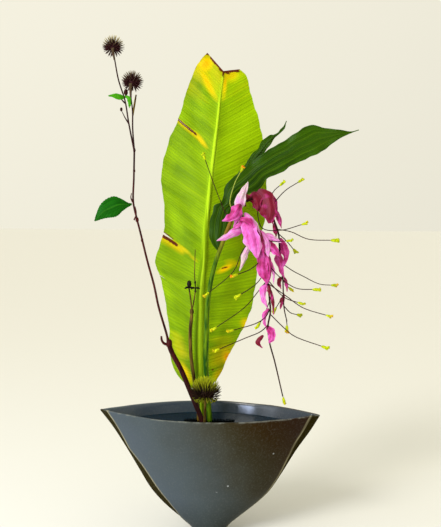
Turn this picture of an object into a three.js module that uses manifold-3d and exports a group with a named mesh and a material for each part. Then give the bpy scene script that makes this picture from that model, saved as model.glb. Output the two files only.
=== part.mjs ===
// An ikebana arrangement: a boat-shaped stoneware vase with water and a pin holder, in which stand
// a banana leaf, a ginger shoot with two hanging sprays, two teasel branches and a low spiny head.
// Millimetres, +Z up. The origin is the middle of the flat foot, and the vase is long along X.
import * as THREE from "three";
import { mergeVertices } from "three/addons/utils/BufferGeometryUtils.js";
import Module from "manifold-3d";

const wasm = await Module();
wasm.setup();

// Driving dimensions

const RIM_HEIGHT = 166;
const BACK_SWELL = 0.12; // the back of the mouth bellies out by this share more than the front
const WALL = 5;
const FLOOR_TOP = 118;
const FLOOR_THICK = 6;
const FOOT_THICK = 6;
const VENT_RADIUS = 2.5;
const VENT_PLACE = 9;
const WATER_LEVEL = 150;
const CLEAR = 0.3;
const SPRAY_CLEAR = 0.4; // room between the ginger's stem and its sprays
const ARC_STEPS = 18;
const ROUND_SIDES = 40;
const KENZAN_RADIUS = 38;
const KENZAN_BASE = 8;
const KENZAN_PLACE = [-3, 2];
const KENZAN_DRAFT = 1;
const KENZAN_ROOM = 0.5; // water kept clear round the pin holder
const PIN_RADIUS = 1.3;
const PIN_ROOT = 2; // how deep a pin is set in the plate
const PIN_TOP = 147;
const PIN_PITCH = 8.6;
const PIN_EDGE = 4; // rim of the plate that has no pins
const FRONT_TURN = 6; // degrees that the display side stands turned from the vase's own front
const STEM_SEAT = 0.8; // a leaning stem's slanted foot still clears the plate
const STEM_FOOT = FLOOR_TOP + CLEAR + KENZAN_BASE + STEM_SEAT;
const BANANA_THICK = 1;
const LEAF_THICK = 0.9;
const TEAR_ROOT = 0.002; // a tear's half width at its inner end, as a share of the leaf's length

const COLOURS = {
  stoneware: 0x3a3d40,
  water: 0x1c2a2a,
  lead: 0x45484a,
  bananaGreen: 0x8cbe0c,
  shootGreen: 0x2c5a10,
  wine: 0xaa1e64,
  orchid: 0xe85ac4,
  maroon: 0x3c1418,
  leafGreen: 0x186e12,
  headBrown: 0x33201e,
  olive: 0x6a5a2a,
  lowHead: 0x5e5a20,
};

// The outside of the vase: height, reach to the left and right, half depth, and the power that
// turns the pointed lens of the mouth (1) into the ellipse of the foot (0.5).
const VASE_PROFILE = [
  { z: 0, left: 22, right: 19, depth: 19, power: 0.5 },
  { z: 10, left: 32, right: 25, depth: 22, power: 0.52 },
  { z: 24, left: 51, right: 41, depth: 27, power: 0.55 },
  { z: 40, left: 69, right: 62, depth: 33, power: 0.65 },
  { z: 58, left: 84.5, right: 80, depth: 39, power: 0.75 },
  { z: 82, left: 99, right: 96, depth: 46, power: 0.85 },
  { z: 117, left: 120, right: 117, depth: 55, power: 0.95 },
  { z: 143, left: 137, right: 135, depth: 60, power: 1 },
  { z: RIM_HEIGHT, left: 155, right: 149, depth: 62, power: 1 },
];

// The basin inside: height, how far in it lies from the outside, and the water's gap to it.
const BASIN = [
  { z: FLOOR_TOP, in: WALL + 6, gap: CLEAR },
  { z: FLOOR_TOP + 3, in: WALL + 3, gap: 2 * CLEAR },
  { z: FLOOR_TOP + 9, in: WALL, gap: 2 * CLEAR },
  { z: 143, in: WALL, gap: CLEAR },
];
// The hollow under the basin.
const HOLLOW = [
  { z: FOOT_THICK, in: WALL + 1 },
  { z: 24, in: WALL + 1 },
  { z: 58, in: WALL },
  { z: 82, in: WALL },
  { z: FLOOR_TOP - FLOOR_THICK, in: WALL + 3 },
];

// How far the creases of the front panel lie from the side edges.
const LEFT_CREASE = [
  { z: 12, in: 1.5 },
  { z: 22, in: 8 },
  { z: 32, in: 14.5 },
  { z: 45, in: 17.5 },
  { z: 58, in: 17 },
  { z: 71, in: 15 },
  { z: 93, in: 12 },
  { z: 113, in: 5 },
  { z: 138, in: 8.5 },
  { z: RIM_HEIGHT, in: 13 },
];
const RIGHT_CREASE = [
  { z: 80, in: 2 },
  { z: 113, in: 6 },
  { z: 131, in: 10 },
  { z: RIM_HEIGHT, in: 13 },
];

// Small helpers

const v = (x, y, z) => new THREE.Vector3(x, y, z);
const curveThrough = (places) => new THREE.CatmullRomCurve3(places.map((p) => v(...p)));

function finish(colour, roughness) {
  return new THREE.MeshStandardMaterial({ color: colour, roughness, metalness: 0 });
}

// The value of a named field at a height, between the rows of a profile.
function valueAt(rows, z, field) {
  const last = rows.length - 1;
  if (z <= rows[0].z) return rows[0][field];
  if (z >= rows[last].z) return rows[last][field];
  const above = rows.findIndex((row) => row.z > z);
  const share = (z - rows[above - 1].z) / (rows[above].z - rows[above - 1].z);
  return THREE.MathUtils.lerp(rows[above - 1][field], rows[above][field], share);
}

// A repeatable stream of numbers from 0 to 1, by Lehmer's rule.
const LEHMER_FACTOR = 16807;
const LEHMER_MODULUS = 2147483647;
function seeded(seed) {
  let state = seed;
  return () => {
    state = (state * LEHMER_FACTOR) % LEHMER_MODULUS;
    return state / LEHMER_MODULUS;
  };
}

function geometryOf(points, faces) {
  const geometry = new THREE.BufferGeometry();
  const places = points.flatMap((p) => [p.x, p.y, p.z]);
  geometry.setAttribute("position", new THREE.Float32BufferAttribute(places, 3));
  geometry.setIndex(faces.flat());
  return geometry;
}

// A closed geometry as a solid, turned to face outwards.
const SAME_PLACE = 1e-4;
function solidOf(geometry) {
  const bare = geometry.clone();
  bare.deleteAttribute("normal");
  bare.deleteAttribute("uv");
  const merged = mergeVertices(bare, SAME_PLACE);
  const vertProperties = new Float32Array(merged.attributes.position.array);
  const triVerts = new Uint32Array(merged.index.array);
  const solid = new wasm.Manifold(new wasm.Mesh({ numProp: 3, vertProperties, triVerts }));
  if (solid.volume() > 0) return solid;
  for (let i = 0; i < triVerts.length; i += 3) {
    [triVerts[i], triVerts[i + 1]] = [triVerts[i + 1], triVerts[i]];
  }
  return new wasm.Manifold(new wasm.Mesh({ numProp: 3, vertProperties, triVerts }));
}

// One body of many: sealed hollows are filled and loose scraps dropped.
function fuse(solids) {
  const joined = wasm.Manifold.union(solids);
  const bodies = joined.decompose();
  bodies.sort((a, b) => b.volume() - a.volume());
  return bodies[0];
}

function meshOf(name, solid, material) {
  const made = solid.getMesh();
  const geometry = new THREE.BufferGeometry();
  const places = new Float32Array(made.numVert * 3);
  for (let i = 0; i < made.numVert; i++) {
    const start = i * made.numProp;
    places.set(made.vertProperties.subarray(start, start + 3), i * 3);
  }
  geometry.setAttribute("position", new THREE.BufferAttribute(places, 3));
  geometry.setIndex(new THREE.BufferAttribute(made.triVerts, 1));
  const mesh = new THREE.Mesh(geometry, material);
  mesh.name = name;
  return mesh;
}

// Rings of equal length joined into a closed skin, with a fan over each end.
function loft(rings) {
  const count = rings[0].length;
  const points = rings.flat();
  const faces = [];
  for (let r = 0; r + 1 < rings.length; r++) {
    for (let i = 0; i < count; i++) {
      const next = (i + 1) % count;
      const a = r * count + i;
      const b = r * count + next;
      faces.push([a, b, b + count], [a, b + count, a + count]);
    }
  }
  const ends = [0, (rings.length - 1) * count];
  ends.forEach((start, end) => {
    const middle = v(0, 0, 0);
    for (let i = 0; i < count; i++) middle.addScaledVector(points[start + i], 1 / count);
    const tip = points.push(middle) - 1;
    for (let i = 0; i < count; i++) {
      const pair = [start + i, start + ((i + 1) % count)];
      if (end === 0) pair.reverse();
      faces.push([...pair, tip]);
    }
  });
  return geometryOf(points, faces);
}

// One ring of a stem, square to its curve at one step of the curve's frames.
function ringAround(centre, frames, step, radius, sides) {
  return Array.from({ length: sides }, (_, i) => {
    const angle = (2 * Math.PI * i) / sides;
    return centre
      .clone()
      .addScaledVector(frames.normals[step], radius * Math.cos(angle))
      .addScaledVector(frames.binormals[step], radius * Math.sin(angle));
  });
}

// A round stem along a curve. radiusAt gives its radius for a share from foot (0) to top (1).
function tube(places, radiusAt, sides, steps) {
  const curve = curveThrough(places);
  const frames = curve.computeFrenetFrames(steps, false);
  const rings = Array.from({ length: steps + 1 }, (_, s) =>
    ringAround(curve.getPointAt(s / steps), frames, s, radiusAt(s / steps), sides),
  );
  return solidOf(loft(rings));
}

const taper = (foot, top) => (share) => THREE.MathUtils.lerp(foot, top, share);

// A straight spine: a slim three-sided pyramid from root to tip.
function spike(root, tip, radius) {
  const along = tip.clone().sub(root);
  const cone = new THREE.ConeGeometry(radius, along.length(), 3, 1);
  cone.translate(0, along.length() / 2, 0);
  const turn = new THREE.Quaternion().setFromUnitVectors(v(0, 1, 0), along.clone().normalize());
  cone.applyQuaternion(turn).translate(root.x, root.y, root.z);
  return solidOf(cone);
}

// The cross lines of a blade from foot (0) to tip (1). A tear has one line on each side of its split.
function crossLines(rows, tears) {
  const near = (line) => tears.some((tear) => Math.abs(tear.at - line.at) < 1 / rows);
  const all = Array.from({ length: rows + 1 }, (_, r) => ({ at: r / rows, shift: () => 0 }));
  const lines = all.filter((line) => !near(line));
  tears.forEach((tear) => {
    const past = (across) => (across * tear.side - tear.from) / (1 - tear.from);
    const open = (across) => tear.wide * Math.max(past(across), TEAR_ROOT);
    lines.push({ at: tear.at - TEAR_ROOT, shift: (across) => -open(across), tear });
    lines.push({ at: tear.at + TEAR_ROOT, shift: open });
  });
  return lines.sort((a, b) => a.at - b.at);
}

// The middle surface of a blade between its rib and edges, and the way that it faces at a place.
function bladeSurface(table) {
  const through = (name) => curveThrough(table.map((row) => row[name]));
  const [left, rib, right] = ["left", "rib", "right"].map(through);
  const at = (along, across) => {
    const side = (across < 0 ? left : right).getPoint(along);
    return rib.getPoint(along).lerp(side, Math.abs(across));
  };
  const step = 0.01;
  const normal = (along, across) => {
    const a = THREE.MathUtils.clamp(along, step, 1 - step);
    const c = THREE.MathUtils.clamp(across, step - 1, 1 - step);
    const up = at(a + step, c).sub(at(a - step, c));
    const over = at(a, c + step).sub(at(a, c - step));
    return over.cross(up).normalize();
  };
  return { at, normal };
}

// The faces of a blade whose points lie in pairs, front and back, line by line. Torn cells are left open.
function bladeFaces(lines, columns) {
  const width = 2 * columns + 1;
  const index = (r, c) => (r * width + c) * 2;
  const torn = (r, c) => {
    const { tear } = lines[r] ?? {};
    if (!tear) return false;
    const inner = Math.min(Math.abs(c / columns - 1), Math.abs((c + 1) / columns - 1));
    return Math.sign(c + 0.5 - columns) === tear.side && inner >= tear.from;
  };
  const inside = (r, c) => r >= 0 && r < lines.length - 1 && c >= 0 && c < width - 1;
  const there = (r, c) => inside(r, c) && !torn(r, c);
  const faces = [];
  const addCell = (r, c) => {
    const corners = [index(r, c), index(r, c + 1), index(r + 1, c + 1), index(r + 1, c)];
    const [a, b, d, e] = corners;
    faces.push([a, b, d], [a, d, e], [a + 1, d + 1, b + 1], [a + 1, e + 1, d + 1]);
    const beyond = [there(r - 1, c), there(r, c + 1), there(r + 1, c), there(r, c - 1)];
    beyond.forEach((covered, side) => {
      if (covered) return;
      const p = corners[side];
      const q = corners[(side + 1) % corners.length];
      faces.push([p, p + 1, q + 1], [p, q + 1, q]);
    });
  };
  for (let r = 0; r < lines.length - 1; r++) {
    for (let c = 0; c < width - 1; c++) {
      if (there(r, c)) addCell(r, c);
    }
  }
  return faces;
}

// A leaf blade over a table of rows, each with its rib and edges, so that its rows follow its veins.
// lift(across, along) raises the surface, and a tear splits one edge between two close rows.
function blade({ table, rows, columns, thick = LEAF_THICK, lift = () => 0, tears = [] }) {
  const surface = bladeSurface(table);
  const lines = crossLines(rows, tears);
  const points = [];
  lines.forEach((line) => {
    for (let c = -columns; c <= columns; c++) {
      const across = c / columns;
      const along = THREE.MathUtils.clamp(line.at + line.shift(across), 0, 1);
      const normal = surface.normal(along, across);
      const centre = surface.at(along, across).addScaledVector(normal, lift(across, along));
      points.push(centre.clone().addScaledVector(normal, thick / 2));
      points.push(centre.clone().addScaledVector(normal, -thick / 2));
    }
  });
  return solidOf(geometryOf(points, bladeFaces(lines, columns)));
}

// The rows of a leaf between its two margins, with its rib midway and raised towards the display side.
function rowsBetween(first, second, count, raised) {
  const margins = [first, second].map(curveThrough);
  return Array.from({ length: count }, (_, i) => {
    const share = i / (count - 1);
    const [left, right] = margins.map((margin) => margin.getPointAt(share));
    const rib = left.clone().lerp(right, 0.5);
    rib.y -= raised * Math.sin(Math.PI * share);
    return { rib: rib.toArray(), left: left.toArray(), right: right.toArray() };
  });
}

// Vase, water and pin holder

// One level outline of the vase, moved in from the outside by `inset`. Its pointed ends need more.
const END_INSET = 1.6;
function outline(z, inset) {
  const field = (name) => valueAt(VASE_PROFILE, z, name);
  const power = field("power");
  const ends = inset * THREE.MathUtils.lerp(1, END_INSET, 2 * power - 1);
  const reach = { left: field("left") - ends, right: field("right") - ends };
  const front = inset - field("depth");
  const back = -front * (1 + (BACK_SWELL * z) / RIM_HEIGHT);
  const place = (angle, depth) => {
    const x = -Math.cos(angle) * (angle < Math.PI / 2 ? reach.left : reach.right);
    return v(x, depth * Math.sin(angle) ** (2 * power), z);
  };
  const even = Math.PI / ARC_STEPS;
  const cut = (rows, width) => (inset > 0 ? even : Math.acos(1 - valueAt(rows, z, "in") / width));
  const start = cut(LEFT_CREASE, reach.left);
  const stop = Math.PI - cut(RIGHT_CREASE, reach.right);
  const ring = [v(-reach.left, 0, z)];
  for (let i = 0; i <= ARC_STEPS; i++) {
    ring.push(place(THREE.MathUtils.lerp(start, stop, i / ARC_STEPS), front));
  }
  ring.push(v(reach.right, 0, z));
  for (let i = ARC_STEPS - 1; i > 0; i--) ring.push(place(even * i, back));
  return ring;
}

function filling(levels) {
  return solidOf(loft(levels.map((level) => outline(level.z, level.in))));
}

// A round upright body on an axis, from one height to another.
function post([x, y], bottom, top, lower, upper, sides) {
  const body = new THREE.CylinderGeometry(upper, lower, top - bottom, sides);
  return solidOf(body.rotateX(Math.PI / 2).translate(x, y, (top + bottom) / 2));
}

function vaseSolid() {
  const outside = filling(VASE_PROFILE.map((row) => ({ z: row.z, in: 0 })));
  const basin = filling([...BASIN, { z: RIM_HEIGHT + 1, in: WALL - 1 }]);
  const vent = post([VENT_PLACE, 0], -FOOT_THICK, 2 * FOOT_THICK, VENT_RADIUS, VENT_RADIUS, 10);
  return outside.subtract(basin).subtract(filling(HOLLOW)).subtract(vent);
}

function waterSolid(stems) {
  const sides = BASIN.map((row, i) => ({ z: row.z + (i === 0 ? CLEAR : 0), in: row.in + row.gap }));
  const body = filling([...sides, { z: WATER_LEVEL, in: WALL + CLEAR }]);
  const room = KENZAN_RADIUS + KENZAN_ROOM;
  const well = post(KENZAN_PLACE, FLOOR_TOP, PIN_TOP + KENZAN_ROOM, room, room, ROUND_SIDES);
  return fuse([body.subtract(well).subtract(wasm.Manifold.union(stems))]);
}

// The pins stand in rows, and those that would be inside a stem are left out.
function kenzanSolid(stems) {
  const bottom = FLOOR_TOP + CLEAR;
  const top = bottom + KENZAN_BASE;
  const parts = [post(KENZAN_PLACE, bottom, top, KENZAN_RADIUS, KENZAN_RADIUS - KENZAN_DRAFT, ROUND_SIDES)];
  const reach = KENZAN_RADIUS - PIN_EDGE;
  const rise = PIN_PITCH * Math.sin(Math.PI / 3);
  const rows = Math.floor(reach / rise);
  const blocked = wasm.Manifold.union(stems);
  for (let r = -rows; r <= rows; r++) {
    for (let c = -rows; c <= rows; c++) {
      const x = (c + (Math.abs(r) % 2) / 2) * PIN_PITCH;
      if (Math.hypot(x, r * rise) > reach) continue;
      const root = v(x + KENZAN_PLACE[0], r * rise + KENZAN_PLACE[1], top - PIN_ROOT);
      const pin = spike(root, v(root.x, root.y, PIN_TOP), PIN_RADIUS);
      if (pin.intersect(blocked).volume() === 0) parts.push(pin);
    }
  }
  return fuse(parts);
}

// Banana leaf

const BANANA_ROWS = [
  { rib: [-15, 19, 186], left: [-20, 21, 188], right: [-10, 21, 190] },
  { rib: [-15, 19, 198], left: [-43, 27, 207], right: [8, 28, 206] },
  { rib: [-15, 19, 225], left: [-57, 32, 236], right: [24, 32, 236] },
  { rib: [-15, 20, 262], left: [-59, 36, 285], right: [40, 36, 268] },
  { rib: [-14, 20, 300], left: [-68, 38, 338], right: [56, 38, 303] },
  { rib: [-12, 20, 335], left: [-77, 36, 367], right: [63, 36, 350] },
  { rib: [-10, 20, 372], left: [-65, 32, 409], right: [68, 39, 392] },
  { rib: [-8, 20, 405], left: [-65, 36, 450], right: [75, 40, 435] },
  { rib: [-4, 20, 445], left: [-68, 40, 486], right: [76, 38, 478] },
  { rib: [0, 20, 485], left: [-59, 38, 531], right: [73, 40, 520] },
  { rib: [5, 21, 528], left: [-42, 34, 568], right: [65, 38, 562] },
  { rib: [10, 22, 570], left: [-33, 34, 602], right: [55, 36, 596] },
  { rib: [14, 23, 604], left: [-18, 32, 636], right: [47, 32, 622] },
  { rib: [17, 24, 627], left: [-5, 30, 652], right: [39, 30, 630] },
];
const BANANA_TEARS = [
  { side: -1, at: 0.758, from: 0.5, wide: 0.002 },
  { side: -1, at: 0.459, from: 0.74, wide: 0.003 },
];
const BANANA_WAVE = { high: 1.6, across: 5, along: 37, lean: 2 };

// The stalk stands before the lower blade and runs on as its rib.
const STALK_START = [
  [-11, 23, STEM_FOOT],
  [-13, 21, 160],
  [-16, 20, 196],
  [-16.4, 20, 225],
  [-16.8, 20, 262],
  [-15.6, 20, 300],
  [-14, 20, 335],
];
const RIB_FROM = 6; // the first row of the blade where the stalk has become its rib
const STALK_SIZES = [
  { z: STEM_FOOT, radius: 5.2 },
  { z: 200, radius: 6.2 },
  { z: 255, radius: 6.5 },
  { z: 325, radius: 5.6 },
  { z: 372, radius: 4.4 },
  { z: 440, radius: 3 },
  { z: 627, radius: 1.3 },
];

function bananaStalk(extra) {
  const places = [...STALK_START, ...BANANA_ROWS.slice(RIB_FROM).map((row) => row.rib)];
  const top = STALK_SIZES[STALK_SIZES.length - 1].z;
  const heightAt = (share) => THREE.MathUtils.lerp(STEM_FOOT, top, share);
  return tube(places, (share) => extra + valueAt(STALK_SIZES, heightAt(share), "radius"), 7, 22);
}

function bananaLeafSolid() {
  const { high, across: turns, along: waves, lean } = BANANA_WAVE;
  const leaf = blade({
    table: BANANA_ROWS,
    rows: 22,
    columns: 4,
    thick: BANANA_THICK,
    lift: (across, along) => high * Math.sin(across * turns) * Math.sin(along * waves + across * lean),
    tears: BANANA_TEARS,
  });
  return fuse([leaf, bananaStalk(0)]);
}

// Ginger shoot

const SHOOT_PATH = [
  [-1, 6, STEM_FOOT],
  [-2.4, 3, 160],
  [-6.8, 0, 218],
  [-6.6, -3, 262],
  [-5.2, -5, 305],
  [-1, -6, 340],
  [7, -8, 374],
  [14, -10, 393],
  [22, -12, 414],
  [30, -14, 434],
  [37, -15, 446],
  [46, -15, 452],
];
const BIG_LEAF_UPPER = [
  [8, -8, 388],
  [0, -6, 399],
  [-2, -4, 415],
  [-1, -4, 430],
  [3, -4, 439],
  [5, -4, 447],
  [14.5, -3, 452],
  [16, -3, 456],
  [18, -3, 470],
  [30, -2, 484],
  [44, -1, 496],
  [64, 0, 512],
  [79, 1, 523],
  [94, 1, 530],
  [108, 2, 541],
  [123, 3, 549],
  [132, 4, 554],
  [155, 4, 550],
  [170, 4, 547.5],
  [188, 4, 545.5],
  [197, 4, 547.8],
];
const BIG_LEAF_LOWER = [
  [14, -8, 387],
  [19, -6, 398],
  [26, -3, 415],
  [28, -2, 434],
  [38, -2, 452],
  [47, -2, 461],
  [54, -2, 463],
  [67, -1, 471],
  [75, 0, 482],
  [93, 1, 491],
  [109, 2, 500],
  [126, 3, 509],
  [142, 3, 515],
  [155, 4, 524],
  [169, 4, 534],
  [185, 4, 543],
  [197, 4, 546.8],
];
const NARROW_LEAF_UPPER = [
  [24, -11, 426],
  [26, 4, 460],
  [38, 8, 493],
  [47, 9, 502],
  [54, 9, 514],
  [61, 9, 521],
  [70, 9, 534],
  [80, 8, 541],
  [91, 8, 543.5],
  [95, 7, 549],
  [97, 7, 552],
  [101, 7, 559.8],
];
const NARROW_LEAF_LOWER = [
  [28, -11, 423],
  [38, 4, 450],
  [53, 8, 480],
  [66, 8, 510],
  [74, 8, 521],
  [81, 8, 530],
  [88, 8, 540],
  [97, 7, 549],
  [101.8, 7, 559.2],
];
const SHOOT_WAVE = { keel: 0.5, high: 0.8, along: 40 };
const SHOOT_RIB_RAISED = 2.5;

function shootLeaf(upper, lower, rows, columns) {
  const { keel, high, along: waves } = SHOOT_WAVE;
  return blade({
    table: rowsBetween(upper, lower, rows + 1, SHOOT_RIB_RAISED),
    rows,
    columns,
    lift: (across, along) => -keel * across ** 2 + high * Math.sin(along * waves) * across,
  });
}

const SHOOT_STEM = { foot: 4, top: 2.4, power: 1.5 };
function shootStem(extra, path = SHOOT_PATH) {
  const { foot, top, power } = SHOOT_STEM;
  return tube(path, (share) => extra + THREE.MathUtils.lerp(foot, top, share ** power), 8, 22);
}

// The stem with room round it and beyond its tip, where its sprays stand clear of it.
function sprayRoom() {
  const [before, last] = SHOOT_PATH.slice(-2).map((place) => v(...place));
  const ahead = last.clone().sub(before).normalize();
  const beyond = last.addScaledVector(ahead, SPRAY_CLEAR).toArray();
  return shootStem(SPRAY_CLEAR, [...SHOOT_PATH.slice(0, -1), beyond]);
}

function gingerShootSolid() {
  const big = shootLeaf(BIG_LEAF_UPPER, BIG_LEAF_LOWER, 20, 3);
  const narrow = shootLeaf(NARROW_LEAF_UPPER, NARROW_LEAF_LOWER, 12, 2);
  return fuse([shootStem(0), big, narrow]);
}

// Ginger sprays

const BACK = [0, 1, 0];
const SLIM = [0.3, 0.85, 1, 0.8, 0.45, 0.05]; // shares of a bract's width from root to tip
const FULL = [0.4, 0.85, 1, 0.95, 0.7, 0.12];
const BRACT_ROWS = 3;
const BROAD = 15; // bracts wider than this have two columns on each side
const POINT_REACH = 0.3;

// A boat-shaped bract over a spine. `face` is the way its hollow side looks, and `keel` is its depth.
function bract({ spine, wide, face = BACK, keel = 0.3, shape = SLIM }) {
  const curve = curveThrough(spine);
  const table = shape.map((share, i) => {
    const at = i / (shape.length - 1);
    const ahead = curve.getTangentAt(at);
    const side = ahead.clone().cross(v(...face)).normalize();
    const reach = Math.max((share * wide) / 2, POINT_REACH);
    const middle = curve.getPointAt(at);
    const raised = middle.clone().addScaledVector(side.clone().cross(ahead), 2 * keel * reach);
    const edge = (way) => raised.clone().addScaledVector(side, way * reach).toArray();
    return { rib: middle.toArray(), left: edge(-1), right: edge(1) };
  });
  return blade({ table, rows: BRACT_ROWS, columns: wide > BROAD ? 2 : 1 });
}

// A thin three-sided flower stalk that opens at its end into a small flower of three pointed petals.
const STALK_RADIUS = taper(0.8, 0.6);
const STALK_STEPS = 5;
const FLOWER_RINGS = [
  { ahead: 1.2, radius: 1.3 },
  { ahead: 5, radius: 3.4 },
  { ahead: 3.4, radius: 0.9 },
];
function stalk(places) {
  const curve = curveThrough(places);
  const frames = curve.computeFrenetFrames(STALK_STEPS, false);
  const rings = Array.from({ length: STALK_STEPS + 1 }, (_, s) =>
    ringAround(curve.getPointAt(s / STALK_STEPS), frames, s, STALK_RADIUS(s / STALK_STEPS), 3),
  );
  FLOWER_RINGS.forEach(({ ahead, radius }) => {
    const centre = curve.getPointAt(1).addScaledVector(frames.tangents[STALK_STEPS], ahead);
    rings.push(ringAround(centre, frames, STALK_STEPS, radius, 3));
  });
  return solidOf(loft(rings));
}

// Short claws join those bracts to the rest that stand off from the rachis.
const RACHIS_RADIUS = taper(1.9, 0.9);
const CLAW_RADIUS = taper(1, 0.8);
function spraySolid({ rachis, bracts, claws, stalks }) {
  const core = tube(rachis, RACHIS_RADIUS, 3, 11);
  const joints = claws.map((places) => tube(places, CLAW_RADIUS, 3, 1));
  return fuse([core, ...joints, ...bracts.map(bract), ...stalks.map(stalk)]);
}

const WINE_SPRAY = {
  rachis: [
    [47, -15, 452.5],
    [56, -15, 457],
    [66, -15, 458],
    [76, -14, 448],
    [85, -13, 425],
    [90, -13, 410],
    [92, -13, 384],
    [96, -13, 351],
    [98, -13, 311],
    [102, -13, 292],
  ],
  bracts: [
    { spine: [[53, -15, 456], [46, -16, 459], [43, -17, 452], [47, -17, 446]], wide: 9 },
    {
      spine: [[58, -15, 466], [57, -18, 458], [60, -19, 450], [62, -18, 440]],
      wide: 18,
      face: [0.3, 1, 0.3],
    },
    {
      spine: [[62, -15, 467], [71, -18, 456], [76, -20, 440], [78, -18, 424]],
      wide: 24,
      face: [0.2, 1, 0.1],
      keel: 0.1,
      shape: FULL,
    },
    { spine: [[68, -13, 466], [80, -13, 456], [85, -14, 443], [86, -13, 432]], wide: 12 },
    { spine: [[72, -16, 444], [77, -20, 437], [81, -20, 430], [82, -18, 423]], wide: 9, face: [0.2, 1, 0] },
    { spine: [[84, -12, 444], [91, -12, 431], [94, -13, 417]], wide: 8, face: [-0.6, 1, 0] },
    { spine: [[84, -13, 424], [86, -13, 414], [87, -14, 405]], wide: 6 },
    { spine: [[92, -12, 404], [97, -15, 393], [100, -16, 381], [97, -15, 366]], wide: 10 },
    { spine: [[91, -13, 389], [90, -16, 377], [93, -17, 364], [98, -15, 351]], wide: 10, face: [0.2, 1, 0] },
    { spine: [[95, -12, 352], [91, -13, 346], [94, -14, 336]], wide: 6 },
    { spine: [[98, -12, 352], [101, -13, 343], [102, -13, 332]], wide: 4.5 },
    { spine: [[98, -12, 328], [95, -14, 318], [93, -14, 309]], wide: 6 },
  ],
  claws: [[[66, -15, 457], [72, -13, 463]]],
  stalks: [
    [[76, -14, 452], [84, -13, 467], [93, -12, 475]],
    [[80, -14, 446], [98, -6, 466], [119, 8, 479]],
    [[64, -15, 456], [62, -17, 440], [68, -20, 418], [92, -20, 415], [122, -20, 423]],
    [[88, -13, 416], [106, -20, 413], [128, -30, 404], [160, -40, 403]],
    [[90, -13, 410], [101, -4, 400], [113, 12, 386]],
    [[93, -13, 372], [108, -7, 361], [124, 0, 352], [148, 10, 340], [166, 14, 338]],
    [[96, -13, 349], [101, -8, 341], [106, -4, 336]],
    [[98, -13, 330], [92, -10, 318], [87, -8, 309]],
    [[98, -13, 313], [107, -4, 303], [119, 8, 298]],
    [[101, -13, 296], [102, -13, 289], [102, -13, 284]],
  ],
};

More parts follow.
